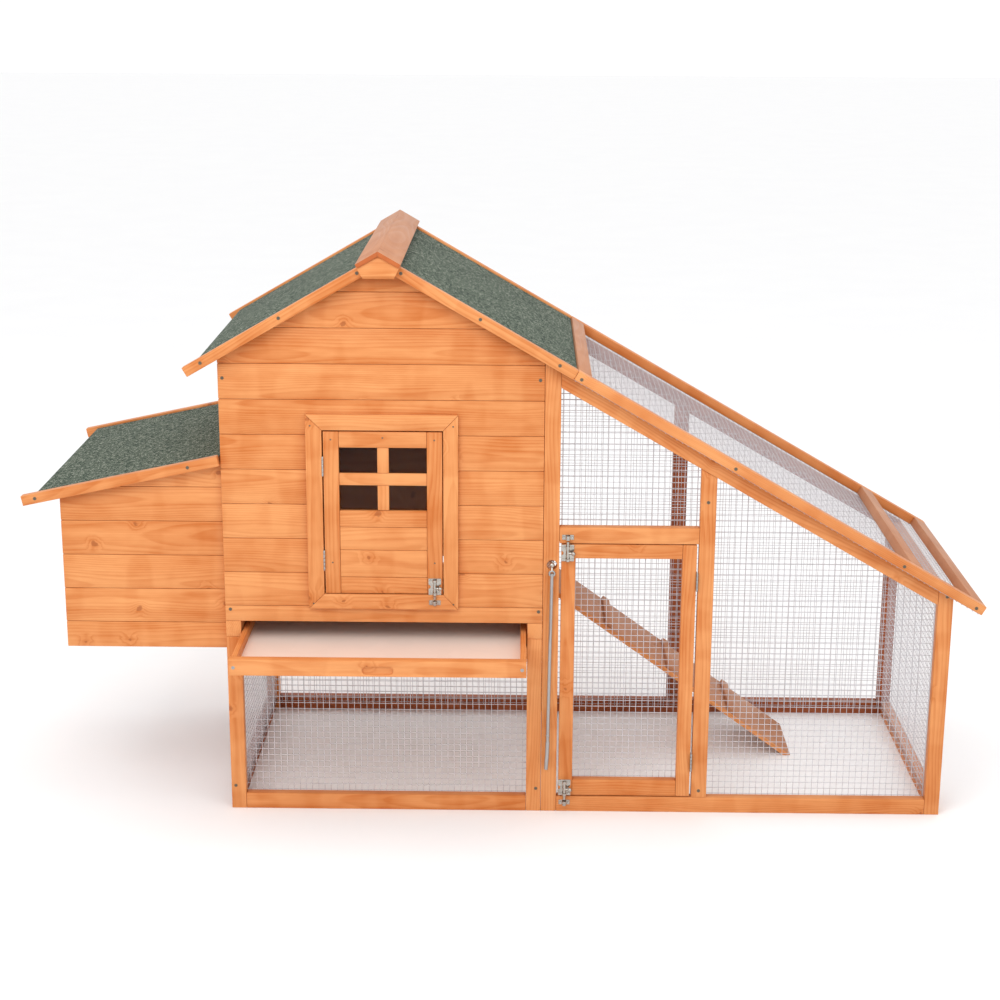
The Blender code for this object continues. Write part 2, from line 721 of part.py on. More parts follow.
def build_latch(name, middle, way):
    """A plate with two bored guides, and the sliding bolt in them; way is +1 up or -1 down."""
    x, face, z = middle
    width, height, thickness = LATCH_PLATE
    guide_width, guide_height, guide_depth = LATCH_GUIDE
    back = face - GAP
    plate = board(
        f"{name}_case",
        (x - width / 2, back - thickness, z - height / 2),
        (x + width / 2, back, z + height / 2),
        nickel,
        eased=0.0,
    )
    for index, offset in enumerate((-1, 1)):
        centre = z + offset * (height / 2 - guide_height / 2 - GUIDE_INSET)
        guide = board(
            f"{name}_guide_{index}",
            (x - guide_width / 2, back - thickness - guide_depth, centre - guide_height / 2),
            (x + guide_width / 2, back - thickness / 2, centre + guide_height / 2),
            nickel,
            eased=0.0,
        )
        combine(plate, guide, "UNION")
    axis_y = back - thickness - guide_depth / 2
    bore = rod_piece(f"{name}_bore", LATCH_BORE, (x, axis_y, z - height), (x, axis_y, z + height))
    combine(plate, bore, "DIFFERENCE")

    tip = z + way * (height / 2 + LATCH_REACH)
    tail = z - way * (height / 2 - BOLT_TAIL)
    bolt = rod_piece(f"{name}_bolt", LATCH_ROD, (x, axis_y, tail), (x, axis_y, tip))
    radius, reach = LATCH_KNOB
    knob_z = z + way * KNOB_RISE
    knob = rod_piece(
        f"{name}_knob", radius, (x, axis_y, knob_z), (x + reach, axis_y - KNOB_LEAN, knob_z)
    )
    combine(bolt, knob, "UNION")
    return plate, bolt


def rod_piece(name, radius, start, end, sides=16, material=None):
    """A round bar between two points, with its origin at its start."""
    start, end = Vector(start), Vector(end)
    axis = end - start
    mesh = bpy.data.meshes.new(name)
    shape = bmesh.new()
    bmesh.ops.create_cone(
        shape, cap_ends=True, segments=sides, radius1=radius, radius2=radius, depth=axis.length
    )
    bmesh.ops.translate(shape, verts=shape.verts, vec=(0, 0, axis.length / 2))
    turn = Vector((0, 0, 1)).rotation_difference(axis)
    bmesh.ops.rotate(shape, verts=shape.verts, matrix=turn.to_matrix())
    shape.to_mesh(mesh)
    shape.free()
    mesh.shade_smooth()
    mesh.set_sharp_from_angle(angle=math.radians(40))
    return add_piece(name, mesh, material or nickel, start)


def build_run_door():
    """A mesh door, hinged on the middle post, with a latch at the top and one at the bottom."""
    low, high = RUN_DOOR
    rail_low, rail_top = RUN_DOOR_RAILS
    inner = ((low[0] + RUN_STILE, low[1] + rail_low), (high[0] - RUN_STILE, high[1] - rail_top))
    frame = slab(
        "run_door_frame", rectangle(low, high), "xz", 0.0, BOARD, pine, [rectangle(*inner)], EASED
    )
    lap = WIRE_LAP
    outline = rectangle(
        (inner[0][0] - lap, inner[0][1] - lap), (inner[1][0] + lap, inner[1][1] + lap)
    )
    mesh = wire_panel("mesh_run_door", outline, "xz", BOARD + GAP)
    x, inset = RUN_LATCH
    top = build_latch("run_latch_top", (x, 0.0, high[1] - inset), 1)
    bottom = build_latch("run_latch_low", (x, 0.0, low[1] + inset), -1)
    hinge = empty("run_door_hinge", (*RUN_HINGE, 0.0), coop)
    carry(hinge, frame, mesh, *top, *bottom)


def build_tray():
    """A metal sheet in a wooden frame that slides out under the house."""
    front = -TRAY_OUT
    end = front + TRAY_LENGTH
    low, high = TRAY_Z
    slide = empty("tray_slide", (HOUSE / 2, front, low), coop)
    centre_x = (TRAY_X[0] + TRAY_X[1]) / 2
    centre_z = (low + high) / 2 + SLOT_RISE
    reach = (SLOT[0] - SLOT[1]) / 2
    slot = []
    for index in range(17):
        turn = math.pi * index / 8 - math.pi / 2
        if index in (8, 16):
            continue
        side = reach if index < 8 else -reach
        slot.append(
            (
                centre_x + side + SLOT[1] / 2 * math.cos(turn),
                centre_z + SLOT[1] / 2 * math.sin(turn),
            )
        )
    face = slab(
        "tray_frame",
        rectangle((TRAY_X[0], low), (TRAY_X[1], high)),
        "xz",
        front,
        BOARD,
        pine,
        [],
        EASED,
    )
    recess = slab("tray_recess", slot, "xz", front - LAP, SLOT_DEPTH + LAP, pine)
    combine(face, recess, "DIFFERENCE")
    left, right = TRAY_X[0] + TRAY_STEP, TRAY_X[1] - TRAY_STEP
    for name, corner, far in (
        ("tray_left", (left, front + BOARD - LAP), (TRAY_X[0] + TRAY_SIDE, end - LAP)),
        ("tray_right", (TRAY_X[1] - TRAY_SIDE, front + BOARD - LAP), (right, end - LAP)),
        ("tray_back", (left + TRAY_STEP, end - BOARD), (right - TRAY_STEP, end)),
    ):
        top = high - TRAY_LIP
        side = board(name, (*corner, low + TRAY_STEP), (*far, top), pine, eased=0.0)
        combine(face, side, "UNION")
    inner_low = (TRAY_X[0] + TRAY_SIDE + GAP, front + BOARD + GAP)
    inner_high = (TRAY_X[1] - TRAY_SIDE - GAP, end - BOARD - GAP)
    bottom, thickness = TRAY_SHEET
    sheet = board(
        "tray_sheet", (*inner_low, bottom), (*inner_high, bottom + thickness), zinc, eased=0.0
    )
    carry(slide, face, sheet)


def build_pop_door():
    """A sliding board that closes the way from the house to the run."""
    x = HOUSE - GAP - PLANK - GAP - POP_DOOR_THICK
    slide = empty("pop_door_slide", (x, POP_DOOR[0][0], HOUSE_FLOOR), coop)
    low, high = POP_DOOR
    door = board(
        "pop_door",
        (x, low[0], HOUSE_FLOOR + GAP),
        (x + POP_DOOR_THICK, high[0], high[1]),
        pine_inside,
    )
    carry(slide, door)


def build_ramp():
    """A board with cross cleats, hinged on the house and resting on the ground."""
    run = RAMP_FOOT - RAMP_TOP[0]
    turn = math.atan2(RAMP_TOP[1], run)
    length = math.hypot(run, RAMP_TOP[1])
    hinge = empty("ramp_hinge", (RAMP_TOP[0], 0.0, RAMP_TOP[1]), coop)
    foot_cut = RAMP / math.tan(turn)
    outline = [
        (0.0, -RAMP),
        (length - foot_cut, -RAMP),
        (length, 0.0),
        (0.0, 0.0),
    ]
    board_mesh = slab_mesh("ramp", outline, [], "xz", RAMP_Y[1] - RAMP_Y[0])
    place = (RAMP_TOP[0], RAMP_Y[0], RAMP_TOP[1] + GAP)
    ramp = add_piece("ramp", board_mesh, pine, place, turn)
    for index, along in enumerate(CLEAT_STARTS):
        cleat = board(
            f"ramp_cleat_{index}",
            (along, RAMP_Y[0] + CLEAT_INSET, -LAP),
            (along + CLEAT[0], RAMP_Y[1] - CLEAT_INSET, CLEAT[1]),
            pine,
            (RAMP_TOP[0], RAMP_TOP[1] + GAP),
            turn,
            eased=0.0,
        )
        combine(ramp, cleat, "UNION")
    carry(hinge, ramp)


def build_pull_rod():
    """The rod that works the sliding door, hanging from the hole in the tall post."""
    x, y = ROD_HOLE[0], -ROD_OUT
    low, high = ROD_Z
    hinge = empty("pull_rod_pivot", (x, y, high), coop)
    rod = rod_piece("pull_rod", ROD, (x, y, low), (x, y, high), 12, zinc)
    radius, thickness = ROD_EYE
    near, far = (x, y - thickness / 2, high), (x, y + thickness / 2, high)
    eye = rod_piece("pull_rod_eye", radius, near, far)
    radius, length = ROD_GRIP
    start = low - 0.001
    grip = rod_piece("pull_rod_grip", radius, (x, y, start), (x, y, start + length), 12)
    combine(rod, eye, "UNION")
    combine(rod, grip, "UNION")
    carry(hinge, rod)


def build_perch():
    x, z = PERCH_AT
    near = (x - PERCH / 2, PLANK + GAP, z)
    far = (x + PERCH / 2, DEPTH - PLANK - GAP, z + PERCH)
    board("perch", near, far, pine_inside, eased=0.004)


def stand_on_origin():
    """Moves the whole coop so that the origin lies on the ground under the middle of its box."""
    bpy.context.view_layer.update()
    graph = bpy.context.evaluated_depsgraph_get()
    corners = []
    for piece in bpy.context.view_layer.objects:
        if piece.type == "MESH" and not piece.hide_render:
            solid = piece.evaluated_get(graph)
            corners += [solid.matrix_world @ vertex.co for vertex in solid.data.vertices]
    for axis in (0, 1):
        places = [corner[axis] for corner in corners]
        coop.location[axis] = -(min(places) + max(places)) / 2


UNDER_HOUSE_ROOF = FELT_DROP + ROOF_BOARD + GAP
UNDER_RUN_ROOF = RUN_RAIL[1] + WIRE + 3 * GAP
SLANT_LOW = 0.050

clear_scene()
pine = finish("stained_fir", (0.80, 0.36, 0.13), 0.55)
pine_pale = finish("stained_fir_pale", (0.83, 0.46, 0.27), 0.6)
pine_inside = finish("stained_fir_inside", (0.62, 0.27, 0.11), 0.6)
felt = finish("green_mineral_felt", (0.10, 0.16, 0.12), 0.95)
wire = finish("galvanised_wire", (0.70, 0.71, 0.74), 0.35, 0.9)
nickel = finish("nickel_plate", (0.78, 0.76, 0.72), 0.25, 1.0)
zinc = finish("zinc_plated_steel", (0.76, 0.76, 0.76), 0.3, 0.9)
glass = finish("clear_pane", (0.75, 0.80, 0.82), 0.08)
coop = empty("coop")

build_posts()
build_rails()
build_house_frames()
build_walls()
build_house_roof()
build_ridge_cap()
build_run_roof()
build_nest_box()
build_wire_mesh()
build_house_door()
build_run_door()
build_tray()
build_pop_door()
build_ramp()
build_pull_rod()
build_perch()
stand_on_origin()
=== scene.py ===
"""The looks of a small wooden hen house with a wire run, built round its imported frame."""

import math
import random

import bpy
import numpy as np
from mathutils import Matrix, Vector


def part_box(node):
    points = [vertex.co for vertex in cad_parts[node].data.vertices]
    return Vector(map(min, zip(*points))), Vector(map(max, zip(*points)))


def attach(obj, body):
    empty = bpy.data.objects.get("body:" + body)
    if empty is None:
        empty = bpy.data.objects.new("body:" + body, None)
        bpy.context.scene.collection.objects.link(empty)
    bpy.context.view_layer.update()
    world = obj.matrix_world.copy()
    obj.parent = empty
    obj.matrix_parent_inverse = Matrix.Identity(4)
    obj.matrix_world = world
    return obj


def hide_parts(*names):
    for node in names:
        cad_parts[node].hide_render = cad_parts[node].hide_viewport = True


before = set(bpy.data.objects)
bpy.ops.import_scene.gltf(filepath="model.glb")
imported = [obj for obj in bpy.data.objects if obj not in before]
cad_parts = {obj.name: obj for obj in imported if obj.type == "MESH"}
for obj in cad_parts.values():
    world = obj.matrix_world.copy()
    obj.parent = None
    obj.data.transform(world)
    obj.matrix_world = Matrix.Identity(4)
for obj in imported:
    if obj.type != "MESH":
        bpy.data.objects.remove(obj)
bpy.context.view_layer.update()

draws = random.Random(11)

# Where the coop's own measures start: the foot of the front left leg
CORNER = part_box("post_front_left")[0]

# Timber
GAP = 0.0003
EASED = 0.0013
POST = 0.030
BOARD = 0.020
RAIL = 0.033
PLANK = 0.012
PLANK_PITCH = 0.0703
PLANK_EDGE = 0.0016
SEAM = 0.0005

# Plan and heights
LENGTH = 1.450
DEPTH = 0.570
HOUSE = 0.634
TALL_POST = (0.6343, 0.6657)
MID_POST = (0.9420, 0.9730)
BACK_MID_POST = (0.9310, 0.9630)
BACK = DEPTH - BOARD
LOWER_RAIL = (0.323, 0.356)
STUB_TOP = 0.406
LEG_TOP = 0.3735
HOUSE_FLOOR = STUB_TOP + RAIL
SIDE_WALL_TOP = 0.9460
MID_RAIL = (0.574, 0.607)

# Roofs
RIDGE = (0.317, 1.146)
SLOPE = math.radians(30)
ROOF_Y = (-0.028, 0.594)
EDGE = (0.018, 0.020)
FELT_DROP = 0.004
FELT = 0.0022
ROOF_BOARD = 0.010
HOUSE_ROOF = 0.4400
EAVE_TAIL = 0.028
RUN_ROOF_END = 1.3776
RUN_RAIL = (0.022, 0.019)
CROSS_STARTS = (HOUSE_ROOF + 0.001, 1.2035, 1.3470)
CROSS = 0.030
CAP = (0.048, 0.0085)
CAP_Y = (-0.052, 0.613)
CAP_BLOCK = (0.079, 0.043, 0.020)
UNDER_HOUSE_ROOF = FELT_DROP + ROOF_BOARD + GAP
SLANT_LOW = 0.050

# Wire mesh
WIRE = 0.0006
WIRE_PITCH = 0.0127
UNDER_RUN_ROOF = RUN_RAIL[1] + 0.0023 + 3 * GAP

# Nest box
NEST_X = (-0.323, -GAP)
NEST_Y = (0.012, 0.558)
NEST_BOTTOM = 0.345
NEST_HINGE = (-0.004, 0.748)
NEST_SLOPE = math.atan2(0.084, 0.390)
NEST_LID = 0.399
NEST_LID_GAP = 0.0012
NEST_LID_Y = (-0.012, 0.584)
NEST_HOLES = (((0.065, 0.451), (0.265, 0.691)), ((0.305, 0.451), (0.505, 0.691)))

# House door
TRIM_OUT = ((0.1686, 0.437), (0.466, 0.833))
TRIM_IN = ((0.200, 0.4675), (0.437, 0.802))
TRIM_Y = (-0.0103, -0.0003)
LEAF = ((0.2025, 0.469), (0.435, 0.799))
LEAF_Y = (-0.008, 0.010)
PANES = (0.233, 0.308, 0.3305, 0.4045)
PANE_LEVELS = (0.640, 0.691, 0.7155, 0.767)
LEAF_SEAMS = (0.469, 0.503, 0.559, 0.606, 0.640)
HOUSE_HINGE = (0.2012, -0.010)

# Run door
RUN_DOOR = ((0.670, 0.0355), (0.938, 0.572))
RUN_STILE = 0.028
RUN_DOOR_RAILS = (0.034, 0.029)
RUN_HINGE = (0.9395, -0.004)

# Tray
TRAY_X = (0.0315, 0.6025)
TRAY_Z = (0.3575, 0.390)
TRAY_Y = (-0.180, 0.360)
TRAY_SIDE = 0.012
SLOT = (0.060, 0.016)
SLOT_RISE = -0.004
SLOT_DEPTH = 0.0058

# Pop-hole, ramp, rod and perch
POP_HOLE = ((0.298, 0.445), (0.488, 0.690))
POP_DOOR = ((0.6134, 0.070, 0.4393), (0.6214, 0.278, 0.712))
RAMP_Y = (0.302, 0.485)
RAMP_TOP = (0.6480, 0.3900)
RAMP_FOOT = 1.188
RAMP = 0.010
CLEAT = (0.018, 0.008)
CLEAT_STARTS = (0.152, 0.321, 0.490)
ROD_HOLE = (0.6516, 0.529, 0.010)
ROD = 0.0033
ROD_Y = -0.0088
ROD_Z = (0.095, 0.514)
PERCH = ((0.5575, 0.0125, 0.560), (0.5825, 0.5575, 0.585))


def at(x, y, z):
    """A place in the coop's own measures, as a place in the frame."""
    return Vector((x, y, z)) + CORNER


def roof_z(x, drop):
    """The height of the long slope at x, a drop below the top of its edge boards."""
    return RIDGE[1] - (x - RIDGE[0]) * math.tan(SLOPE) - drop / math.cos(SLOPE)


# ---------------------------------------------------------------- materials


def put(tree, kind, **settings):
    node = tree.nodes.new(kind)
    for key, value in settings.items():
        setattr(node, key, value)
    return node


def feed(tree, socket, value):
    """Links a socket into another, or sets a plain value."""
    if isinstance(value, bpy.types.NodeSocket):
        tree.links.new(value, socket)
    else:
        socket.default_value = value


def calc(tree, operation, *values, clamp=False):
    node = put(tree, "ShaderNodeMath", operation=operation, use_clamp=clamp)
    for socket, value in zip(node.inputs, values):
        feed(tree, socket, value)
    return node.outputs[0]


def stretched(tree, vector, factors):
    node = put(tree, "ShaderNodeVectorMath", operation="MULTIPLY")
    feed(tree, node.inputs[0], vector)
    node.inputs[1].default_value = factors
    return node.outputs[0]


def ramp_between(tree, value, start, end, low=0.0, high=1.0, kind="SMOOTHSTEP"):
    node = put(tree, "ShaderNodeMapRange", interpolation_type=kind)
    for socket, setting in zip(node.inputs, (value, start, end, low, high)):
        feed(tree, socket, setting)
    return node.outputs[0]


def noise(tree, vector, scale=1.0, detail=2.0, roughness=0.5):
    node = put(tree, "ShaderNodeTexNoise")
    feed(tree, node.inputs["Vector"], vector)
    node.inputs["Scale"].default_value = scale
    node.inputs["Detail"].default_value = detail
    node.inputs["Roughness"].default_value = roughness
    return node.outputs["Fac"], node.outputs["Color"]


def blend_colours(tree, factor, first, second, mode="MIX"):
    node = put(tree, "ShaderNodeMix", data_type="RGBA", blend_type=mode)
    feed(tree, node.inputs[0], factor)
    feed(tree, node.inputs[6], first)
    feed(tree, node.inputs[7], second)
    return node.outputs[2]


def new_group(name, inputs, outputs):
    tree = bpy.data.node_groups.new(name, "ShaderNodeTree")
    for label, kind, value in inputs:
        socket = tree.interface.new_socket(name=label, in_out="INPUT", socket_type=kind)
        if value is not None:
            socket.default_value = value
    for label, kind in outputs:
        tree.interface.new_socket(name=label, in_out="OUTPUT", socket_type=kind)
    source = put(tree, "NodeGroupInput")
    result = put(tree, "NodeGroupOutput")
    return tree, source.outputs, result.inputs


def make_fir_grain():
    """Growth rings round a pith below the board, fibres, blotches of stain, and a few knots."""
    colour, value = "NodeSocketColor", "NodeSocketFloat"
    tree, given, result = new_group(
        "fir_grain",
        (
            ("Place", "NodeSocketVector", None),
            ("Tone", value, 0.5),
            ("Pale", colour, (0.9, 0.4, 0.16, 1)),
            ("Rich", colour, (0.7, 0.25, 0.08, 1)),
            ("Knot", colour, (0.35, 0.1, 0.03, 1)),
            ("Figure", value, 1.0),
        ),
        (("Colour", colour), ("Late wood", value), ("Knots", value), ("Height", value)),
    )
    place = given["Place"]
    parts = put(tree, "ShaderNodeSeparateXYZ")
    feed(tree, parts.inputs[0], place)
    along, across, through = parts.outputs

    _, crooked = noise(tree, stretched(tree, place, (60.0, 85.0, 85.0)), detail=2.0)
    shift = put(tree, "ShaderNodeSeparateColor")
    feed(tree, shift.inputs[0], crooked)
    flat = put(tree, "ShaderNodeCombineXYZ")
    feed(tree, flat.inputs[0], calc(tree, "MULTIPLY_ADD", shift.outputs[0], 0.018, along))
    feed(tree, flat.inputs[1], calc(tree, "MULTIPLY_ADD", shift.outputs[1], 0.011, across))
    cells = put(tree, "ShaderNodeTexVoronoi", voronoi_dimensions="2D")
    feed(tree, cells.inputs["Vector"], flat.outputs[0])
    cells.inputs["Scale"].default_value = 11.0
    spot = put(tree, "ShaderNodeSeparateColor")
    feed(tree, spot.inputs[0], cells.outputs["Color"])
    kept = calc(tree, "GREATER_THAN", spot.outputs[0], 0.80)
    size = calc(tree, "MULTIPLY_ADD", spot.outputs[1], 0.028, 0.016)
    rim = calc(tree, "MULTIPLY", size, 1.9)
    distance = cells.outputs["Distance"]
    core = ramp_between(tree, distance, size, rim, 1.0, 0.0)
    knots = calc(tree, "MULTIPLY", core, kept)
    halo = calc(tree, "MULTIPLY", ramp_between(tree, distance, 0.0, 0.26, 1.0, 0.0), kept)

    _, wander = noise(tree, stretched(tree, place, (2.4, 9.0, 9.0)))
    drift = put(tree, "ShaderNodeSeparateColor")
    feed(tree, drift.inputs[0], wander)
    shifts = [calc(tree, "MULTIPLY_ADD", s, 0.016, -0.008) for s in drift.outputs[:2]]
    y = calc(tree, "ADD", across, shifts[0])
    z = calc(tree, "ADD", through, shifts[1])
    radius = calc(
        tree, "SQRT", calc(tree, "ADD", calc(tree, "POWER", y, 2.0),
            calc(tree, "POWER", z, 2.0))
    )
    sweep, _ = noise(tree, stretched(tree, place, (1.5, 0.0, 0.0)), detail=1.0)
    radius = calc(tree, "MULTIPLY_ADD", sweep, 0.034, radius)
    radius = calc(tree, "MULTIPLY_ADD", halo, 0.006, radius)
    rings = calc(tree, "FRACT", calc(tree, "MULTIPLY", radius, 300.0))
    late = calc(
        tree,
        "MULTIPLY",
        ramp_between(tree, rings, 0.25, 0.86),
        ramp_between(tree, rings, 0.86, 1.0, 1.0, 0.0),
    )
    fibre, _ = noise(tree, stretched(tree, place, (10.0, 520.0, 520.0)), detail=2.0)
    streak, _ = noise(tree, stretched(tree, place, (1.6, 60.0, 60.0)), detail=3.0,
        roughness=0.6)
    blotch, _ = noise(tree, stretched(tree, place, (7.0, 20.0, 20.0)), detail=3.0,
        roughness=0.6)
    bands, _ = noise(tree, stretched(tree, place, (17.0, 5.0, 5.0)), detail=1.0)
    ripple = ramp_between(tree, bands, 0.46, 0.60, 0.32, 0.68)

    amount = calc(tree, "MULTIPLY", late, 0.30)
    amount = calc(tree, "MULTIPLY", amount, given["Figure"])
    for texture, weight in ((streak, 0.85), (blotch, 1.25), (fibre, 0.45), (ripple, 0.55)):
        centred = calc(tree, "SUBTRACT", texture, 0.5)
        amount = calc(tree, "MULTIPLY_ADD", centred, weight, amount)
    toned = calc(tree, "MULTIPLY_ADD", given["Tone"], 0.50, 0.12)
    amount = calc(tree, "ADD", amount, toned)
    amount = calc(tree, "MULTIPLY_ADD", halo, 0.26, amount, clamp=True)
    wood = blend_colours(tree, amount, given["Pale"], given["Rich"])
    wood = blend_colours(tree, calc(tree, "MULTIPLY", knots, 0.62), wood, given["Knot"])
    feed(tree, result["Colour"], wood)
    feed(tree, result["Late wood"], late)
    feed(tree, result["Knots"], knots)
    height = calc(tree, "MULTIPLY", late, 0.35)
    height = calc(tree, "MULTIPLY_ADD", fibre, 0.45, height)
    height = calc(tree, "MULTIPLY_ADD", knots, -0.6, height)
    feed(tree, result["Height"], height)
    return tree


def new_material(name):
    material = bpy.data.materials.new(name)
    material.use_nodes = True
    tree = material.node_tree
    shader = next(n for n in tree.nodes if n.type == "BSDF_PRINCIPLED")
    return material, tree, shader


def raise_surface(tree, shader, height, strength, distance):
    bump = put(tree, "ShaderNodeBump")
    bump.inputs["Strength"].default_value = strength
    bump.inputs["Distance"].default_value = distance
    feed(tree, bump.inputs["Height"], height)
    feed(tree, shader.inputs["Normal"], bump.outputs[0])


def make_wood(name, pale, rich, knot, roughness, figure=1.0):
    material, tree, shader = new_material(name)
    group = put(tree, "ShaderNodeGroup", node_tree=fir_grain)
    grain = put(tree, "ShaderNodeAttribute", attribute_name="grain")
    tone = put(tree, "ShaderNodeAttribute", attribute_name="tone")
    feed(tree, group.inputs["Place"], grain.outputs["Vector"])
    feed(tree, group.inputs["Tone"], tone.outputs["Fac"])
    for label, value in (("Pale", pale), ("Rich", rich), ("Knot", knot)):
        group.inputs[label].default_value = (*value, 1)
    group.inputs["Figure"].default_value = figure
    feed(tree, shader.inputs["Base Color"], group.outputs["Colour"])
    rough = calc(tree, "MULTIPLY_ADD", group.outputs["Late wood"], -0.10, roughness)
    rough = calc(tree, "MULTIPLY_ADD", group.outputs["Knots"], -0.10, rough)
    feed(tree, shader.inputs["Roughness"], rough)
    shader.inputs["Specular IOR Level"].default_value = 0.25
    raise_surface(tree, shader, group.outputs["Height"], 0.35, 0.0005)
    return material


def make_felt():
    """Roofing felt faced with crushed green stone."""
    material, tree, shader = new_material("green_felt")
    coordinates = put(tree, "ShaderNodeTexCoord").outputs["Object"]
    grit = put(tree, "ShaderNodeTexVoronoi")
    feed(tree, grit.inputs["Vector"], coordinates)
    grit.inputs["Scale"].default_value = 560.0
    shade = put(tree, "ShaderNodeSeparateColor")
    feed(tree, shade.inputs[0], grit.outputs["Color"])
    patch, _ = noise(tree, coordinates, 14.0, 4.0, 0.6)
    clumps, _ = noise(tree, coordinates, 140.0, 3.0, 0.8)
    lightness = calc(tree, "MULTIPLY_ADD", calc(tree, "SUBTRACT", patch, 0.5), 0.30,
        shade.outputs[0])
    lightness = calc(tree, "MULTIPLY_ADD", calc(tree, "SUBTRACT", clumps, 0.5), 3.4, lightness)
    tints = put(tree, "ShaderNodeValToRGB")
    feed(tree, tints.inputs[0], lightness)
    stops = (
        (0.0, (0.022, 0.036, 0.026)),
        (0.35, (0.050, 0.072, 0.052)),
        (0.68, (0.092, 0.118, 0.086)),
        (0.93, (0.260, 0.280, 0.225)),
    )
    steps = tints.color_ramp.elements
    for index, (place, tint) in enumerate(stops):
        step = steps[index] if index < 2 else steps.new(place)
        step.position = place
        step.color = (*tint, 1)
    feed(tree, shader.inputs["Base Color"], tints.outputs[0])
    shader.inputs["Roughness"].default_value = 0.88
    shader.inputs["Specular IOR Level"].default_value = 0.2
    raise_surface(tree, shader, grit.outputs["Distance"], 0.8, 0.0012)
    return material


def make_metal(name, colour, roughness, spangle=0.0, scale=60.0, metallic=1.0):
    """Plated or galvanised metal, with a faint crystal pattern and worn gloss."""
    material, tree, shader = new_material(name)
    coordinates = put(tree, "ShaderNodeTexCoord").outputs["Object"]
    crystals = put(tree, "ShaderNodeTexVoronoi")
    feed(tree, crystals.inputs["Vector"], coordinates)
    crystals.inputs["Scale"].default_value = scale
    shade = put(tree, "ShaderNodeSeparateColor")
    feed(tree, shade.inputs[0], crystals.outputs["Color"])
    clouds, _ = noise(tree, coordinates, scale * 0.4, 3.0, 0.6)
    darker = tuple(c * (1 - spangle) for c in colour)
    mixed = calc(tree, "MULTIPLY_ADD", clouds, 0.5,
        calc(tree, "MULTIPLY", shade.outputs[0], 0.5))
    tint = blend_colours(tree, mixed, (*darker, 1), (*colour, 1))
    feed(tree, shader.inputs["Base Color"], tint)
    feed(tree, shader.inputs["Roughness"],
        calc(tree, "MULTIPLY_ADD", clouds, 0.18, roughness - 0.09))
    shader.inputs["Metallic"].default_value = metallic
    return material


def make_pane():
    material, tree, shader = new_material("clear_pane")
    coordinates = put(tree, "ShaderNodeTexCoord").outputs["Object"]
    smear, _ = noise(tree, coordinates, 38.0, 4.0, 0.65)
    # The pane's smoky grey tint darkens the inside of the house seen through it: painted shade.
    shader.inputs["Base Color"].default_value = (0.46, 0.44, 0.43, 1)
    feed(tree, shader.inputs["Roughness"], ramp_between(tree, smear, 0.45, 0.75, 0.02, 0.16))
    shader.inputs["IOR"].default_value = 1.20
    shader.inputs["Transmission Weight"].default_value = 1.0
    return material


fir_grain = make_fir_grain()
finishes = {
    "stained_fir": make_wood(
        "stained_fir", (0.720, 0.305, 0.108), (0.520, 0.145, 0.028), (0.30, 0.075, 0.018), 0.50
    ),
    # A darker copy of the stained fir for the back posts, back rails and left base rail: painted shade.
    "fir_with_painted_shade": make_wood(
        "fir_with_painted_shade", (0.400, 0.115, 0.042), (0.260, 0.062, 0.020), (0.14, 0.04, 0.012),
        0.55
    ),
    "stained_fir_end": make_wood(
        "stained_fir_end", (0.480, 0.125, 0.032), (0.360, 0.082, 0.020), (0.20, 0.06, 0.02),
        0.62, 0.4
    ),
    # A paler, whiter copy of the stained fir for the ridge cap, the run roof's cross bars and the ramp: a
    # painted sheen from overhead light.
    "stained_fir_pale": make_wood(
        "stained_fir_pale", (0.500, 0.228, 0.118), (0.385, 0.145, 0.062), (0.27, 0.09, 0.035),
        0.56, 0.5
    ),
    # A darker copy of the stained fir for the pieces inside the house and under the roofs: painted shade.
    "stained_fir_inside": make_wood(
        "stained_fir_inside", (0.420, 0.140, 0.055), (0.290, 0.085, 0.030),
        (0.15, 0.045, 0.015), 0.60
    ),
    "green_felt": make_felt(),
    "galvanised_wire": make_metal("galvanised_wire", (0.62, 0.60, 0.63), 0.50, 0.25, 180.0,
        0.2),
    "nickel": make_metal("nickel", (0.54, 0.51, 0.46), 0.26, 0.35, 260.0),
    "zinc": make_metal("zinc", (0.42, 0.42, 0.42), 0.34, 0.16, 70.0, 0.8),
    "dull_zinc": make_metal("dull_zinc", (0.17, 0.14, 0.10), 0.42, 0.20, 70.0, 0.6),
    # The tray sheet's peach base colour is a painted reflection of the wooden underside of the house.
    "tray_sheet": make_metal("tray_sheet", (0.90, 0.76, 0.67), 0.36, 0.05, 24.0, 0.05),
    "clear_pane": make_pane(),
}


# ---------------------------------------------------------------- bench work


def alone(piece):
    bpy.ops.object.select_all(action="DESELECT")
    piece.select_set(True)
    bpy.context.view_layer.objects.active = piece


def apply_place(piece):
    alone(piece)
    bpy.ops.object.transform_apply(location=True, rotation=True, scale=True)


def name_piece(piece, name):
    piece.name = name
    piece.data.name = name
    return piece


def block(name, low, high):
    """A squared block between two corners."""
    low, high = Vector(low), Vector(high)
    bpy.ops.object.select_all(action="DESELECT")
    bpy.ops.mesh.primitive_cube_add(size=1.0, location=(low + high) / 2, scale=high - low)
    piece = name_piece(bpy.context.active_object, name)
    apply_place(piece)
    return piece


def bar(name, start, end, radius, sides=16):
    """A round bar from start to end."""
    start, end = Vector(start), Vector(end)
    axis = end - start
    turn = Vector((0, 0, 1)).rotation_difference(axis).to_euler()
    bpy.ops.object.select_all(action="DESELECT")
    bpy.ops.mesh.primitive_cylinder_add(
        vertices=sides, radius=radius, depth=axis.length, location=(start + end) / 2,
        rotation=turn
    )
    piece = name_piece(bpy.context.active_object, name)
    apply_place(piece)
    return piece


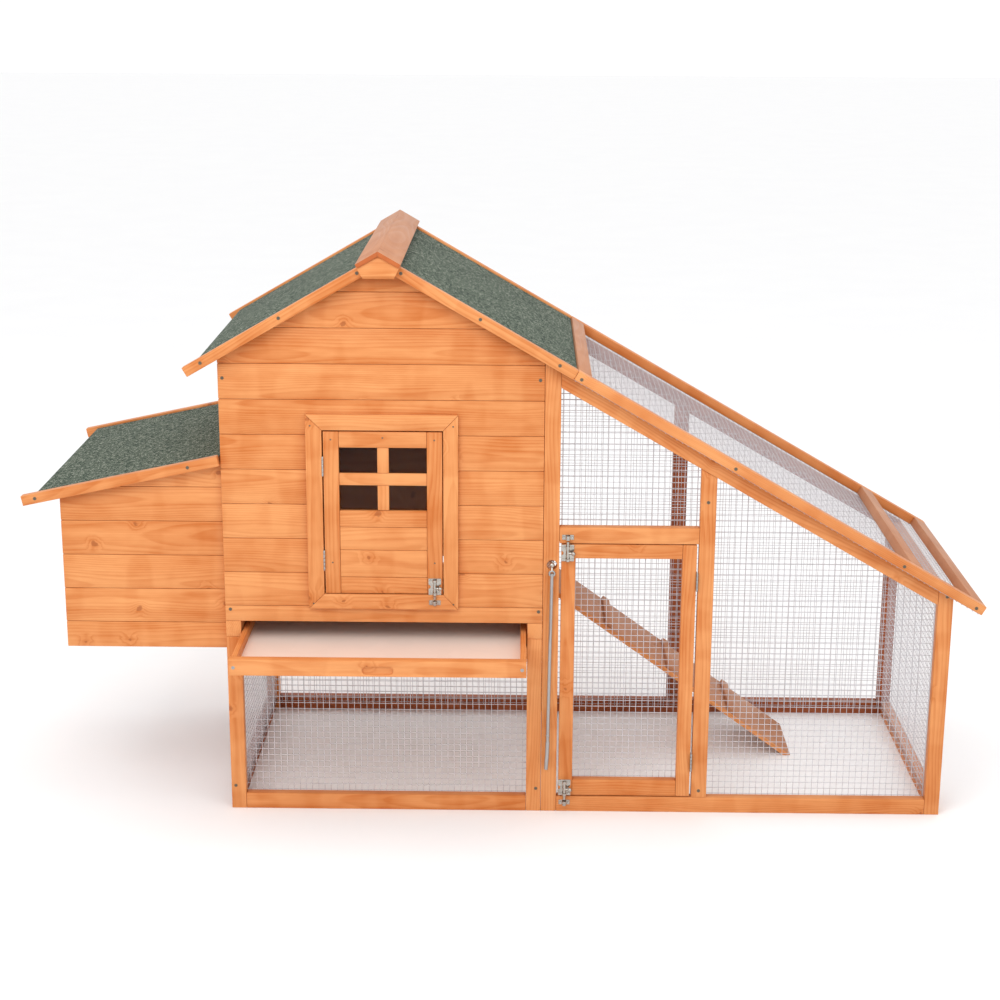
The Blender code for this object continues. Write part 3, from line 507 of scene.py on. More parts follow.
def saw(piece, cuts):
    """Cuts away what lies outside each plane, and closes the cut."""
    if not cuts:
        return
    alone(piece)
    bpy.ops.object.mode_set(mode="EDIT")
    for point, outward in cuts:
        bpy.ops.mesh.select_all(action="SELECT")
        bpy.ops.mesh.bisect(
            plane_co=point, plane_no=outward, use_fill=True, clear_outer=True, threshold=1e-6
        )
    bpy.ops.object.mode_set(mode="OBJECT")


def cut_out(piece, cutter):
    """Cuts the cutter's shape out of a piece, and takes the cutter away."""
    alone(piece)
    opening = piece.modifiers.new("opening", "BOOLEAN")
    opening.operation = "DIFFERENCE"
    opening.solver = "EXACT"
    opening.object = cutter
    bpy.ops.object.modifier_apply(modifier=opening.name)
    bpy.data.objects.remove(cutter, do_unlink=True)


def ease(piece, amount, angle=35.0, segments=2):
    """Rounds every edge a little, and shades the rounding smoothly."""
    alone(piece)
    if amount:
        bpy.ops.object.mode_set(mode="EDIT")
        bpy.ops.mesh.select_all(action="DESELECT")
        bpy.ops.mesh.select_mode(type="EDGE")
        bpy.ops.mesh.edges_select_sharp(sharpness=math.radians(20))
        bpy.ops.mesh.bevel(offset=amount, segments=segments, affect="EDGES")
        bpy.ops.object.mode_set(mode="OBJECT")
    bpy.ops.object.shade_smooth_by_angle(angle=math.radians(angle))


def joined(name, pieces):
    """Makes one piece of several."""
    bpy.ops.object.select_all(action="DESELECT")
    for piece in pieces:
        piece.select_set(True)
    bpy.context.view_layer.objects.active = pieces[0]
    if len(pieces) > 1:
        bpy.ops.object.join()
    return name_piece(bpy.context.active_object, name)


def lay_grain(piece, along, tone):
    """Stores each point's place in its own board: along the grain, across it, and through it."""
    count = len(piece.data.vertices)
    places = np.zeros(count * 3)
    piece.data.vertices.foreach_get("co", places)
    places = places.reshape(-1, 3)
    low, high = places.min(0), places.max(0)
    others = sorted((axis for axis in range(3) if axis != along),
        key=lambda a: low[a] - high[a])
    local = (places - (low + high) / 2)[:, [along, *others]]
    local += (draws.uniform(0.0, 20.0), draws.uniform(-0.03, 0.03), draws.uniform(0.028, 0.085))
    grain = piece.data.attributes.new("grain", "FLOAT_VECTOR", "POINT")
    grain.data.foreach_set("vector", local.astype(np.float32).ravel())
    shade = piece.data.attributes.new("tone", "FLOAT", "POINT")
    level = draws.uniform(0.10, 0.75) if tone is None else tone + draws.uniform(-0.12, 0.12)
    shade.data.foreach_set("value", np.full(count, level, np.float32))


def settle(piece, anchor=(0.0, 0.0), turn=0.0):
    """Turns a piece about the cross axis, and carries it from its own measures to its place."""
    piece.rotation_euler = (0.0, turn, 0.0)
    piece.location = at(anchor[0], 0.0, anchor[1])
    apply_place(piece)


def fit(piece, body, finish, nodes=()):
    """Gives a piece its finish and the body that carries it."""
    piece.data.materials.clear()
    piece.data.materials.append(finishes[finish])
    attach(piece, body)
    if nodes:
        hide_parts(*([nodes] if isinstance(nodes, str) else nodes))
    return piece


def refinish(piece, finish, least):
    """Gives another finish to the faces that look along Y."""
    piece.data.materials.append(finishes[finish])
    for face in piece.data.polygons:
        face.material_index = int(abs(face.normal.y) > least)


def timber(
    name,
    body,
    nodes,
    low,
    high,
    finish="stained_fir",
    along=None,
    anchor=(0.0, 0.0),
    turn=0.0,
    cuts=(),
    openings=(),
    eased=EASED,
    tone=None,
):
    """A planed board with its own grain; the grain runs the long way unless told otherwise."""
    piece = block(name, low, high)
    if along is None:
        sizes = [b - a for a, b in zip(low, high)]
        along = sizes.index(max(sizes))
    saw(piece, cuts)
    for cutter in openings:
        cut_out(piece, cutter)
    ease(piece, eased)
    lay_grain(piece, along, tone)
    settle(piece, anchor, turn)
    return fit(piece, body, finish, nodes)


def plank_wall(name, body, node, axis, span, layer, seams, cuts=(), openings=(),
    finish="stained_fir"):
    """Rows of planks; a row is split where an opening takes its whole height, or else notched."""

    def corner(u, w, z):
        return (u, w, z) if axis == "x" else (w, u, z)

    for row, (low, high) in enumerate(zip(seams, seams[1:])):
        spans = [span]
        notches = []
        for (left, bottom), (right, top) in openings:
            if bottom <= low + 0.001 and top >= high - 0.001:
                spans = [
                    part
                    for start, end in spans
                    for part in ((start, min(end, left)), (max(start, right), end))
                    if part[1] - part[0] > 0.004
                ]
            elif bottom < high and top > low:
                notches.append(((left, bottom), (right, top)))
        for index, (start, end) in enumerate(spans):
            if end <= span[0] or start >= span[1]:
                continue
            cutters = [
                block("cutter", corner(left, layer[0] - 0.01, bottom),
                    corner(right, layer[1] + 0.01, top))
                for (left, bottom), (right, top) in notches
            ]
            timber(
                f"{name}_{row}_{index}",
                body,
                node,
                corner(start, layer[0], low),
                corner(end, layer[1], high - SEAM),
                finish,
                0 if axis == "x" else 1,
                cuts=cuts,
                openings=cutters,
                eased=PLANK_EDGE,
            )


def rows_from(first, last, start=HOUSE_FLOOR):
    """Seam heights at the planks' pitch, from first to last."""
    seams = [first]
    level = start
    while level < last - 0.006:
        if level > first + 0.006:
            seams.append(level)
        level += PLANK_PITCH
    return [*seams, last]


# ---------------------------------------------------------------- frames


def build_posts():
    """Uprights, front and back."""
    inner = (HOUSE - POST, HOUSE - GAP)
    for name, (left, right) in (("post_front_left", (0.0, POST)), ("post_front_inner", inner)):
        timber(f"{name}_leg", "coop", name, (left, 0, 0), (right, BOARD, LEG_TOP - GAP),
            tone=0.55)
        timber(
            f"{name}_stub", "coop", name, (left, 0, LEG_TOP), (right, BOARD, STUB_TOP),
            "stained_fir", 1, tone=0.0,
        )
    # The back leg gets a higher tone than the front ones, so it is darker: painted shade.
    timber("leg_back_left", "coop", "post_back_left", (0, BACK, 0), (POST, DEPTH, STUB_TOP),
        tone=0.7)
    down = (math.sin(SLOPE), 0.0, math.cos(SLOPE))
    house_cut = ((TALL_POST[0], 0, roof_z(TALL_POST[0], UNDER_HOUSE_ROOF)), down)
    x, z, radius = ROD_HOLE
    hole = bar("cutter", (x, -0.01, z), (x, BOARD + 0.01, z), radius, 32)
    timber(
        "tall_post_front", "coop", "post_tall_front", (TALL_POST[0], 0, 0),
        (TALL_POST[1], BOARD, 1.0),
        cuts=(house_cut,), openings=(hole,), tone=0.6,
    )
    # The back tall post takes the darker fir and a high tone: painted shade.
    timber(
        "tall_post_back", "coop", "post_tall_back",
        (TALL_POST[0], BACK, RAIL + GAP), (TALL_POST[1], DEPTH, 1.0), "fir_with_painted_shade",
        cuts=(house_cut,), tone=0.8,
    )
    slant_cut = ((0.95, 0, roof_z(0.95, SLANT_LOW) - GAP), down)
    # The back mid post takes the darker fir and a high tone: painted shade.
    for name, (left, right), y, tone in (
        ("post_mid_front", MID_POST, 0.0, 0.5),
        ("post_mid_back", BACK_MID_POST, BACK, 0.9),
    ):
        timber(
            name.replace("post_mid", "mid_post"), "coop", name,
            (left, y, RAIL + GAP), (right, y + BOARD, 0.8),
            "stained_fir" if y == 0.0 else "fir_with_painted_shade", cuts=(slant_cut,), tone=tone,
        )
    run_cut = ((LENGTH, 0, roof_z(LENGTH, UNDER_RUN_ROOF)), down)
    # The back end post takes the darker fir and a high tone: painted shade.
    for name, y, tone in (("post_right_front", 0.0, 0.55), ("post_right_back", BACK, 0.9)):
        timber(
            name.replace("post_right", "end_post"), "coop", name,
            (LENGTH - POST, y, 0), (LENGTH, y + BOARD, 0.55),
            "stained_fir" if y == 0.0 else "fir_with_painted_shade", cuts=(run_cut,), tone=tone,
        )


def build_rails():
    """Rails between the uprights."""
    inner = HOUSE - POST - GAP
    run_left, run_right = TALL_POST[1] + GAP, LENGTH - POST - GAP
    side = (BOARD + GAP, BACK - GAP)
    end = LENGTH - BOARD
    top = roof_z(LENGTH, UNDER_RUN_ROOF)
    # The back, left and under-house base rails get high tones, so they are darker: painted shade.
    for name, node, low, high, tone in (
        ("base_rail_house", "rail_front_house_base", (POST + GAP, 0, 0), (inner, BOARD, RAIL),
            0.95),
        ("base_rail_run", "rail_front_run_base", (run_left, 0, 0), (run_right, BOARD, RAIL),
            0.75),
        (
            "rail_over_door", "rail_front_run_mid",
            (run_left, 0, MID_RAIL[0]), (MID_POST[0] - GAP, BOARD, MID_RAIL[1]), 0.45,
        ),
        ("base_rail_back", "rail_back_base", (POST + GAP, BACK, 0), (run_right, DEPTH, RAIL),
            1.0),
        ("base_rail_end", "rail_right_base", (end, side[0], 0), (LENGTH, side[1], RAIL), 0.8),
        ("top_rail_end", "rail_right_top", (end, side[0], top - RAIL), (LENGTH, side[1], top),
            0.7),
        ("base_rail_left", "rail_left_base", (0, side[0], 0), (BOARD, side[1], RAIL), 0.9),
    ):
        # The back and left base rails take the darker fir: painted shade.
        finish = "fir_with_painted_shade" if name in ("base_rail_back",
            "base_rail_left") else "stained_fir"
        timber(name, "coop", node, low, high, finish, tone=tone)
    # The back slant rail takes the darker fir and a high tone: painted shade.
    for name, node, y, tone in (
        ("slant_rail_front", "rail_front_slant", 0.0, 0.5),
        ("slant_rail_back", "rail_back_slant", BACK, 0.9),
    ):
        ends = [(x - RIDGE[0]) / math.cos(SLOPE) for x in (run_left, run_right)]
        plumb = Vector((math.cos(SLOPE), 0.0, math.sin(SLOPE)))
        timber(
            name, "coop", node,
            (ends[0] - 0.01, y, -SLANT_LOW), (ends[1] + 0.04, y + BOARD, -UNDER_RUN_ROOF),
            "stained_fir" if y == 0.0 else "fir_with_painted_shade", anchor=RIDGE, turn=SLOPE,
            tone=tone,
            cuts=(((ends[0], 0, 0), -plumb), ((ends[1], 0, 0), plumb)),
        )


def build_house_frames():
    """The ring under the tray, and the ring that the house stands on."""
    low, high = LOWER_RAIL
    side = (BOARD + GAP, BACK - GAP)
    ends = (POST + GAP, HOUSE - POST - GAP)
    runner = POST + 0.014
    node = "tray_support_frame"
    timber("tray_rail_front", "coop", node, (ends[0], 0, low), (ends[1], BOARD, high))
    # The back rail, the left runner and the back sill get high tones, so they are darker than the front
    # ones: painted shade.
    timber("tray_rail_back", "coop", node, (ends[0], BACK, low), (ends[1], DEPTH, high),
        tone=0.9)
    timber("tray_runner_left", "coop", node, (0, side[0], low), (runner, side[1], high),
        tone=0.8)
    right = HOUSE - GAP
    timber(
        "tray_runner_right", "coop", node, (HOUSE - runner, side[0], low),
        (right, side[1], high)
    )
    node = "house_base_frame"
    low, high = STUB_TOP + GAP, HOUSE_FLOOR - GAP
    timber("house_sill_front", "coop", node, (0, 0, low), (right, BOARD, high), tone=0.12)
    timber("house_sill_back", "coop", node, (0, BACK, low), (right, DEPTH, high), tone=0.8)
    guide = STUB_TOP - POST
    timber("tray_guide_left", "coop", node, (0, side[0], guide), (POST, side[1], high))
    timber("tray_guide_right", "coop", node, (right - POST, side[0], guide),
        (right, side[1], high))
    timber("tray_guide_back", "coop", node, (ends[0], BACK, guide), (ends[1], DEPTH, low - GAP))


# ---------------------------------------------------------------- house


def build_walls():
    """Four plank walls, the end ones cut under the roof."""
    right = HOUSE - GAP
    floor = HOUSE_FLOOR + GAP
    under = RIDGE[1] - UNDER_HOUSE_ROOF / math.cos(SLOPE)
    gable = [((RIDGE[0], 0, under), (s * math.sin(SLOPE), 0, math.cos(SLOPE))) for s in (-1, 1)]
    seams = rows_from(floor, 1.1305)
    plank_wall("front_plank", "coop", "wall_front", "x", (0.0, right), (0.0, PLANK), seams,
        gable, (TRIM_IN,))
    plank_wall("back_plank", "coop", "wall_back", "x", (0.0, right), (DEPTH - PLANK, DEPTH),
        seams, gable)
    span = (PLANK + GAP, DEPTH - PLANK - GAP)
    seams = rows_from(floor, SIDE_WALL_TOP)
    plank_wall("left_plank", "coop", "wall_left", "y", span, (0.0, PLANK), seams, (),
        NEST_HOLES)
    layer = (right - PLANK, right)
    plank_wall("right_plank", "coop", "wall_right", "y", span, layer, seams, (), (POP_HOLE,))


def felted_panel(name, body, node, side, board_end, edge_end, start, ys, anchor, turn):
    """A board with felt on it between two edge boards; side is the way it falls."""

    def box(a, b, near, far, low, high):
        first, last = sorted((side * a, side * b))
        return (first, near, low), (last, far, high)

    near, far = ys[0] + EDGE[0], ys[1] - EDGE[0]
    drop = FELT_DROP + FELT
    low, high = box(start, board_end - 0.001, near, far, -FELT_DROP - ROOF_BOARD, -drop)
    timber(f"{name}_board", body, node, low, high, "stained_fir_inside", 1, anchor, turn,
        eased=0.0005)
    low, high = box(start, board_end, near + 0.0002, far - 0.0002, -drop + 0.00005, -FELT_DROP)
    felt = block(f"{name}_felt", low, high)
    alone(felt)
    bpy.ops.object.mode_set(mode="EDIT")
    bpy.ops.mesh.select_all(action="DESELECT")
    bpy.ops.object.mode_set(mode="OBJECT")
    for face in felt.data.polygons:
        face.select = face.normal.x * side > 0.9
    bpy.ops.object.mode_set(mode="EDIT")
    bpy.ops.mesh.select_mode(type="FACE")
    bpy.ops.mesh.extrude_region_move(TRANSFORM_OT_translate={"value": (side * 0.0022, 0, 0)})
    bpy.ops.mesh.select_all(action="DESELECT")
    bpy.ops.object.mode_set(mode="OBJECT")
    reach = side * (board_end + 0.0001)
    for face in felt.data.polygons:
        face.select = face.normal.z < -0.9 and side * (face.center.x - reach) > 0
    bpy.ops.object.mode_set(mode="EDIT")
    bpy.ops.mesh.extrude_region_move(TRANSFORM_OT_translate={"value": (0, 0, -0.0085)})
    bpy.ops.object.mode_set(mode="OBJECT")
    ease(felt, 0.0006)
    settle(felt, anchor, turn)
    fit(felt, body, "green_felt", node)
    for place, y in (("front", ys[0]), ("back", ys[1] - EDGE[0])):
        low, high = box(start, edge_end, y, y + EDGE[0] - 0.0002, -EDGE[1], 0.0)
        timber(f"{name}_edge_{place}", body, node, low, high, anchor=anchor, turn=turn,
            tone=0.55)


def build_house_roof():
    start = EDGE[1] * math.tan(SLOPE) + 0.001
    tail = HOUSE_ROOF - EAVE_TAIL
    felted_panel("roof_left", "coop", "roof_panel_left", -1, tail, HOUSE_ROOF, start, ROOF_Y,
        RIDGE, -SLOPE)
    board_end = HOUSE_ROOF - 0.003
    felted_panel("roof_right", "coop", "roof_panel_right", 1, board_end, HOUSE_ROOF, start,
        ROOF_Y, RIDGE, SLOPE)


def build_ridge():
    """Two cap boards mitred over the ridge, and the block nailed under their front end."""
    width, thickness = CAP[0] - 0.003, CAP[1]
    for name, side in (("ridge_board_left", -1), ("ridge_board_right", 1)):
        low = (min(0.0, side * width), CAP_Y[0], GAP)
        high = (max(0.0, side * width), CAP_Y[1], thickness + GAP)
        low = (low[0] - (0.01 if side > 0 else 0), *low[1:])
        high = (high[0] + (0.01 if side < 0 else 0), *high[1:])
        mitre = ((0, 0, 0), (-side * math.cos(SLOPE), 0, side * side * -math.sin(SLOPE)))
        board = timber(
            name, "coop", "ridge_cap", low, high, "stained_fir_pale", 1, RIDGE, side * SLOPE,
            cuts=(mitre,), eased=0.0007, tone=0.3,
        )
        refinish(board, "stained_fir_end", 0.9)
    half, height, depth = CAP_BLOCK[0] / 2, CAP_BLOCK[1], CAP_BLOCK[2]
    x, z = RIDGE
    y = CAP_Y[0] + 0.0035
    foot = z - height
    shoulder = roof_z(x + half, 0.0)
    cuts = [((x, 0, z), (s * math.sin(SLOPE), 0, math.cos(SLOPE))) for s in (-1, 1)]
    cuts += [
        ((x + s * half, 0, shoulder), Vector((s * (shoulder - foot), 0, -0.010)).normalized())
        for s in (-1, 1)
    ]
    cuts.append(((x, y, foot + 0.006), Vector((0, -1, -1)).normalized()))
    timber(
        "ridge_block", "coop", "ridge_cap", (x - half, y, foot), (x + half, y + depth, z),
        "stained_fir", 0, cuts=cuts, eased=0.001, tone=0.05,
    )


def build_run_roof():
    """The run's open roof frame."""
    width, height = RUN_RAIL
    start = HOUSE_ROOF + GAP * 2
    for place, near, tone in (("front", ROOF_Y[0], 0.35), ("back", ROOF_Y[1] - width, 0.6)):
        timber(
            f"run_roof_rail_{place}", "coop", f"roof_rail_{place}",
            (start, near, -height), (RUN_ROOF_END, near + width, 0), anchor=RIDGE, turn=SLOPE,
            tone=tone,
        )
    near, far = ROOF_Y[0] + width + GAP, ROOF_Y[1] - width - GAP
    for place, along in zip(("top", "low", "end"), CROSS_STARTS):
        timber(
            f"run_roof_cross_{place}", "coop", f"roof_cross_{place}",
            (along + GAP, near, -height), (along + CROSS, far, 0),
            "stained_fir_pale", 1, RIDGE, SLOPE, tone=0.4,
        )


def build_nest_box():
    """A plank box beside the house, with a hinged felted lid."""
    left, right = NEST_X
    drop = FELT_DROP + ROOF_BOARD + GAP
    x, z = NEST_HINGE
    lid = ((x, 0, z - drop / math.cos(NEST_SLOPE)),
        (-math.sin(NEST_SLOPE), 0, math.cos(NEST_SLOPE)))
    top = z - drop
    seams = rows_from(NEST_BOTTOM, top, HOUSE_FLOOR - 0.0401)
    for name, node, y in (
        ("nest_front", "nest_wall_front", NEST_Y[0]),
        ("nest_back", "nest_wall_back", NEST_Y[1] - PLANK),
    ):
        plank_wall(name, "coop", node, "x", (left, right), (y, y + PLANK), seams, (lid,))
    inside = (NEST_Y[0] + PLANK + GAP, NEST_Y[1] - PLANK - GAP)
    end_top = lid[0][2] - (x - left) * math.tan(NEST_SLOPE)
    seams = rows_from(NEST_BOTTOM, end_top, HOUSE_FLOOR - 0.0401)
    plank_wall("nest_end", "coop", "nest_wall_end", "y", inside, (left, left + PLANK), seams)
    start = left + PLANK + GAP
    width = (right - start) / 4
    for index in range(4):
        low = (start + index * width, inside[0], NEST_BOTTOM)
        high = (start + (index + 1) * width - SEAM, inside[1], NEST_BOTTOM + PLANK)
        timber(f"nest_floor_{index}", "coop", "nest_floor", low, high, "stained_fir_inside")
    felted_panel(
        "nest_lid", "nest_lid", "nest_lid", -1, NEST_LID - EAVE_TAIL, NEST_LID, NEST_LID_GAP,
        NEST_LID_Y, NEST_HINGE, -NEST_SLOPE,
    )


def mitred_frame(name, body, node, outer, inner, ys, tones):
    """Four boards round an opening, mitred at its corners."""
    (x0, z0), (x3, z3) = outer
    (x1, z1), (x2, z2) = inner

    def mitre(a, b, inside):
        along = Vector((b[0] - a[0], 0, b[1] - a[1]))
        outward = Vector((along.z, 0, -along.x)).normalized()
        if outward.dot(Vector((inside[0] - a[0], 0, inside[1] - a[1]))) > 0:
            outward.negate()
        return (Vector((a[0], 0, a[1])) - outward * 0.0002, outward)

    corners = {
        "a": ((x0, z0), (x1, z1)), "b": ((x3, z0), (x2, z1)),
        "c": ((x3, z3), (x2, z2)), "d": ((x0, z3), (x1, z2)),
    }
    for place, low, high, ends, tone in (
        ("foot", (x0, z0), (x3, z1), "ab", tones[0]),
        ("right", (x2, z0), (x3, z3), "bc", tones[1]),
        ("head", (x0, z2), (x3, z3), "cd", tones[2]),
        ("left", (x0, z0), (x1, z3), "da", tones[3]),
    ):
        middle = ((low[0] + high[0]) / 2, (low[1] + high[1]) / 2)
        timber(
            f"{name}_{place}", body, node, (low[0], ys[0], low[1]), (high[0], ys[1], high[1]),
            cuts=[mitre(*corners[end], middle) for end in ends], eased=0.001, tone=tone,
        )


def build_house_door():
    """The mitred trim, and the framed leaf with its four panes."""
    mitred_frame("trim", "coop", "door_trim", TRIM_OUT, TRIM_IN, TRIM_Y, (0.1, 0.2, 0.1, 0.45))
    body = node = "house_door"
    (left, low), (right, high) = LEAF
    y0, y1 = LEAF_Y
    inner = (PANES[0], PANES[3])
    timber("leaf_stile_left", body, node, (left, y0, low), (inner[0] - GAP, y1, high),
        tone=0.75)
    timber("leaf_stile_right", body, node, (inner[1] + GAP, y0, low), (right, y1, high),
        tone=0.9)
    timber("leaf_top_rail", body, node, (inner[0], y0 + 0.0006, PANE_LEVELS[3]),
        (inner[1], y1, high), tone=0.2)
    for index, (bottom, top) in enumerate(zip(LEAF_SEAMS, LEAF_SEAMS[1:])):
        timber(
            f"leaf_panel_{index}", body, node,
            (inner[0], y0 + 0.001, bottom), (inner[1], y1, top - SEAM),
            tone=(0.4, 0.1, 0.15, 0.6)[index],
        )
    front, behind = y0 + 0.0015, -0.0012
    timber(
        "leaf_cross_bar", body, node,
        (inner[0], front, PANE_LEVELS[1]), (inner[1], behind, PANE_LEVELS[2]), eased=0.001,
        tone=0.1,
    )
    for index, (bottom, top) in enumerate((PANE_LEVELS[:2], PANE_LEVELS[2:])):
        timber(
            f"leaf_upright_{index}", body, node,
            (PANES[1], front, bottom + GAP), (PANES[2], behind, top - GAP), eased=0.001,
            tone=0.3,
        )
    pane = block(
        "leaf_pane",
        (inner[0] + GAP, behind + GAP, PANE_LEVELS[0] + GAP),
        (inner[1] - GAP, behind + 0.0023, PANE_LEVELS[3] - GAP),
    )
    ease(pane, 0.0003)
    settle(pane)
    fit(pane, body, "clear_pane", "window_pane")


def build_run_door():
    """The frame of the run's mesh door."""
    body, node = "run_door", "run_door_frame"
    (left, low), (right, high) = RUN_DOOR
    foot, head = low + RUN_DOOR_RAILS[0], high - RUN_DOOR_RAILS[1]
    inner = (left + RUN_STILE, right - RUN_STILE)
    timber("gate_stile_left", body, node, (left, 0, low), (inner[0], BOARD, head - GAP),
        tone=0.65)
    timber("gate_stile_right", body, node, (inner[1], 0, low), (right, BOARD, high), tone=0.6)
    timber("gate_head", body, node, (left, 0.0005, head), (inner[1] - GAP, BOARD, high),
        tone=0.7)
    timber("gate_foot", body, node, (inner[0] + GAP, 0.0005, low),
        (inner[1] - GAP, BOARD, foot), tone=0.75)


def build_tray():
    """The frame of the pull-out tray, with a finger slot in its front board."""
    body, node = "tray", "tray_frame"
    (left, right), (low, high), (near, far) = TRAY_X, TRAY_Z, TRAY_Y
    middle, level = (left + right) / 2, (low + high) / 2 + SLOT_RISE
    reach, radius = SLOT[0] / 2, SLOT[1] / 2
    recess = block(
        "cutter", (middle - reach, near - 0.01, level - radius),
        (middle + reach, near + SLOT_DEPTH, level + radius)
    )
    alone(recess)
    bpy.ops.object.mode_set(mode="EDIT")
    bpy.ops.mesh.select_mode(type="EDGE")
    bpy.ops.mesh.select_all(action="DESELECT")
    bpy.ops.object.mode_set(mode="OBJECT")
    for edge in recess.data.edges:
        start, end = (recess.data.vertices[index].co for index in edge.vertices)
        edge.select = abs(end.y - start.y) > SLOT_DEPTH
    bpy.ops.object.mode_set(mode="EDIT")
    bpy.ops.mesh.bevel(offset=radius * 0.98, segments=8, affect="EDGES")
    bpy.ops.object.mode_set(mode="OBJECT")
    timber(
        "tray_front", body, node, (left, near, low), (right, near + BOARD, high),
        openings=(recess,), tone=0.25,
    )
    for place, start in (("left", left + 0.001), ("right", right - TRAY_SIDE)):
        timber(
            f"tray_side_{place}", body, node, (start, near + BOARD + GAP, low + 0.001),
            (start + TRAY_SIDE - 0.001, far - BOARD - GAP, high - 0.004), tone=0.6,
        )
    # The tray's back board gets a higher tone than its front, so it is darker: painted shade.
    timber(
        "tray_end", body, node,
        (left + 0.002, far - BOARD, low + 0.001), (right - 0.002, far, high - 0.004), tone=0.8,
    )


def build_inside():
    """The sliding board of the pop-hole, the perch and the ramp."""
    low, high = POP_DOOR
    timber("pop_hole_slide", "pop_door", "pop_door", low, high, "stained_fir_inside", 2)
    timber("perch_bar", "coop", "perch", *PERCH, "stained_fir_inside", eased=0.004)
    fall = math.atan2(RAMP_TOP[1], RAMP_FOOT - RAMP_TOP[0])
    length = math.hypot(RAMP_TOP[1], RAMP_FOOT - RAMP_TOP[0])
    anchor = (RAMP_TOP[0], RAMP_TOP[1] + GAP)
    ground = ((length, 0, 0), (math.sin(fall), 0, -math.cos(fall)))
    board = timber(
        "ramp_board", "ramp", "ramp", (0, RAMP_Y[0], -RAMP), (length, RAMP_Y[1], 0),
        "stained_fir_pale", 0, anchor, fall, cuts=(ground,), tone=0.2,
    )
    # The ramp's top, bottom and ends keep the painted sheen; its long edges take the plain stain.
    refinish(board, "stained_fir", 0.5)
    for index, along in enumerate(CLEAT_STARTS):
        timber(
            f"ramp_cleat_{index}", "ramp", "ramp", (along, RAMP_Y[0] + 0.002, GAP),
            (along + CLEAT[0], RAMP_Y[1] - 0.002, CLEAT[1]), "stained_fir_pale", 1, anchor,
            fall, tone=0.5,
        )


# ---------------------------------------------------------------- wire mesh


def wire_rows(outline, plane, depth, pitch_from):
    """Straight welded wires both ways inside a convex outline."""
    place = {
        "xz": lambda u, v, w: Vector((u, w, v)),
        "yz": lambda u, v, w: Vector((w, u, v)),
        "xy": lambda u, v, w: Vector((u, v, w)),
    }[plane]
    low = [min(p[i] for p in outline) - 0.002 for i in (0, 1)]
    high = [max(p[i] for p in outline) + 0.002 for i in (0, 1)]
    sets = []
    for across in (0, 1):
        first = pitch_from[across] + math.ceil((low[across] - pitch_from[across]) / WIRE_PITCH) * WIRE_PITCH
        count = int((high[across] - first) / WIRE_PITCH) + 1
        ends = [[0.0, 0.0], [0.0, 0.0]]
        for end, limit in zip(ends, (low, high)):
            end[across] = first
            end[1 - across] = limit[1 - across]
        level = depth + WIRE * (1 + 1.8 * across)
        wire = bar("wire", place(*ends[0], level), place(*ends[1], level), WIRE, 6)
        rows = wire.modifiers.new("rows", "ARRAY")
        rows.count = count
        rows.use_relative_offset = False
        rows.use_constant_offset = True
        step = [0.0, 0.0]
        step[across] = WIRE_PITCH
        rows.constant_offset_displace = place(*step, 0.0)
        alone(wire)
        bpy.ops.object.modifier_apply(modifier=rows.name)
        sets.append(wire)
    wires = joined("wires", sets)
    cuts = []
    centre = [sum(p[i] for p in outline) / len(outline) for i in (0, 1)]
    for a, b in zip(outline, [*outline[1:], outline[0]]):
        outward = Vector((b[1] - a[1], a[0] - b[0])).normalized()
        if outward.dot(Vector((centre[0] - a[0], centre[1] - a[1]))) > 0:
            outward.negate()
        cuts.append((place(*a, 0.0), place(*outward, 0.0)))
    saw(wires, cuts)
    return wires


def mesh_sheet(name, body, node, plane, depth, outlines, anchor=(0.0, 0.0), turn=0.0):
    """One sheet of welded mesh, from one or more convex parts on the same pitch."""
    pitch_from = (outlines[0][0][0] + 0.004, outlines[0][0][1] + 0.004)
    parts = [wire_rows(outline, plane, depth, pitch_from) for outline in outlines]
    sheet = joined(name, parts)
    alone(sheet)
    bpy.ops.object.shade_smooth_by_angle(angle=math.radians(70))
    settle(sheet, anchor, turn)
    return fit(sheet, body, "galvanised_wire", node)


def oblong(left, low, right, high):
    return [(left, low), (right, low), (right, high), (left, high)]


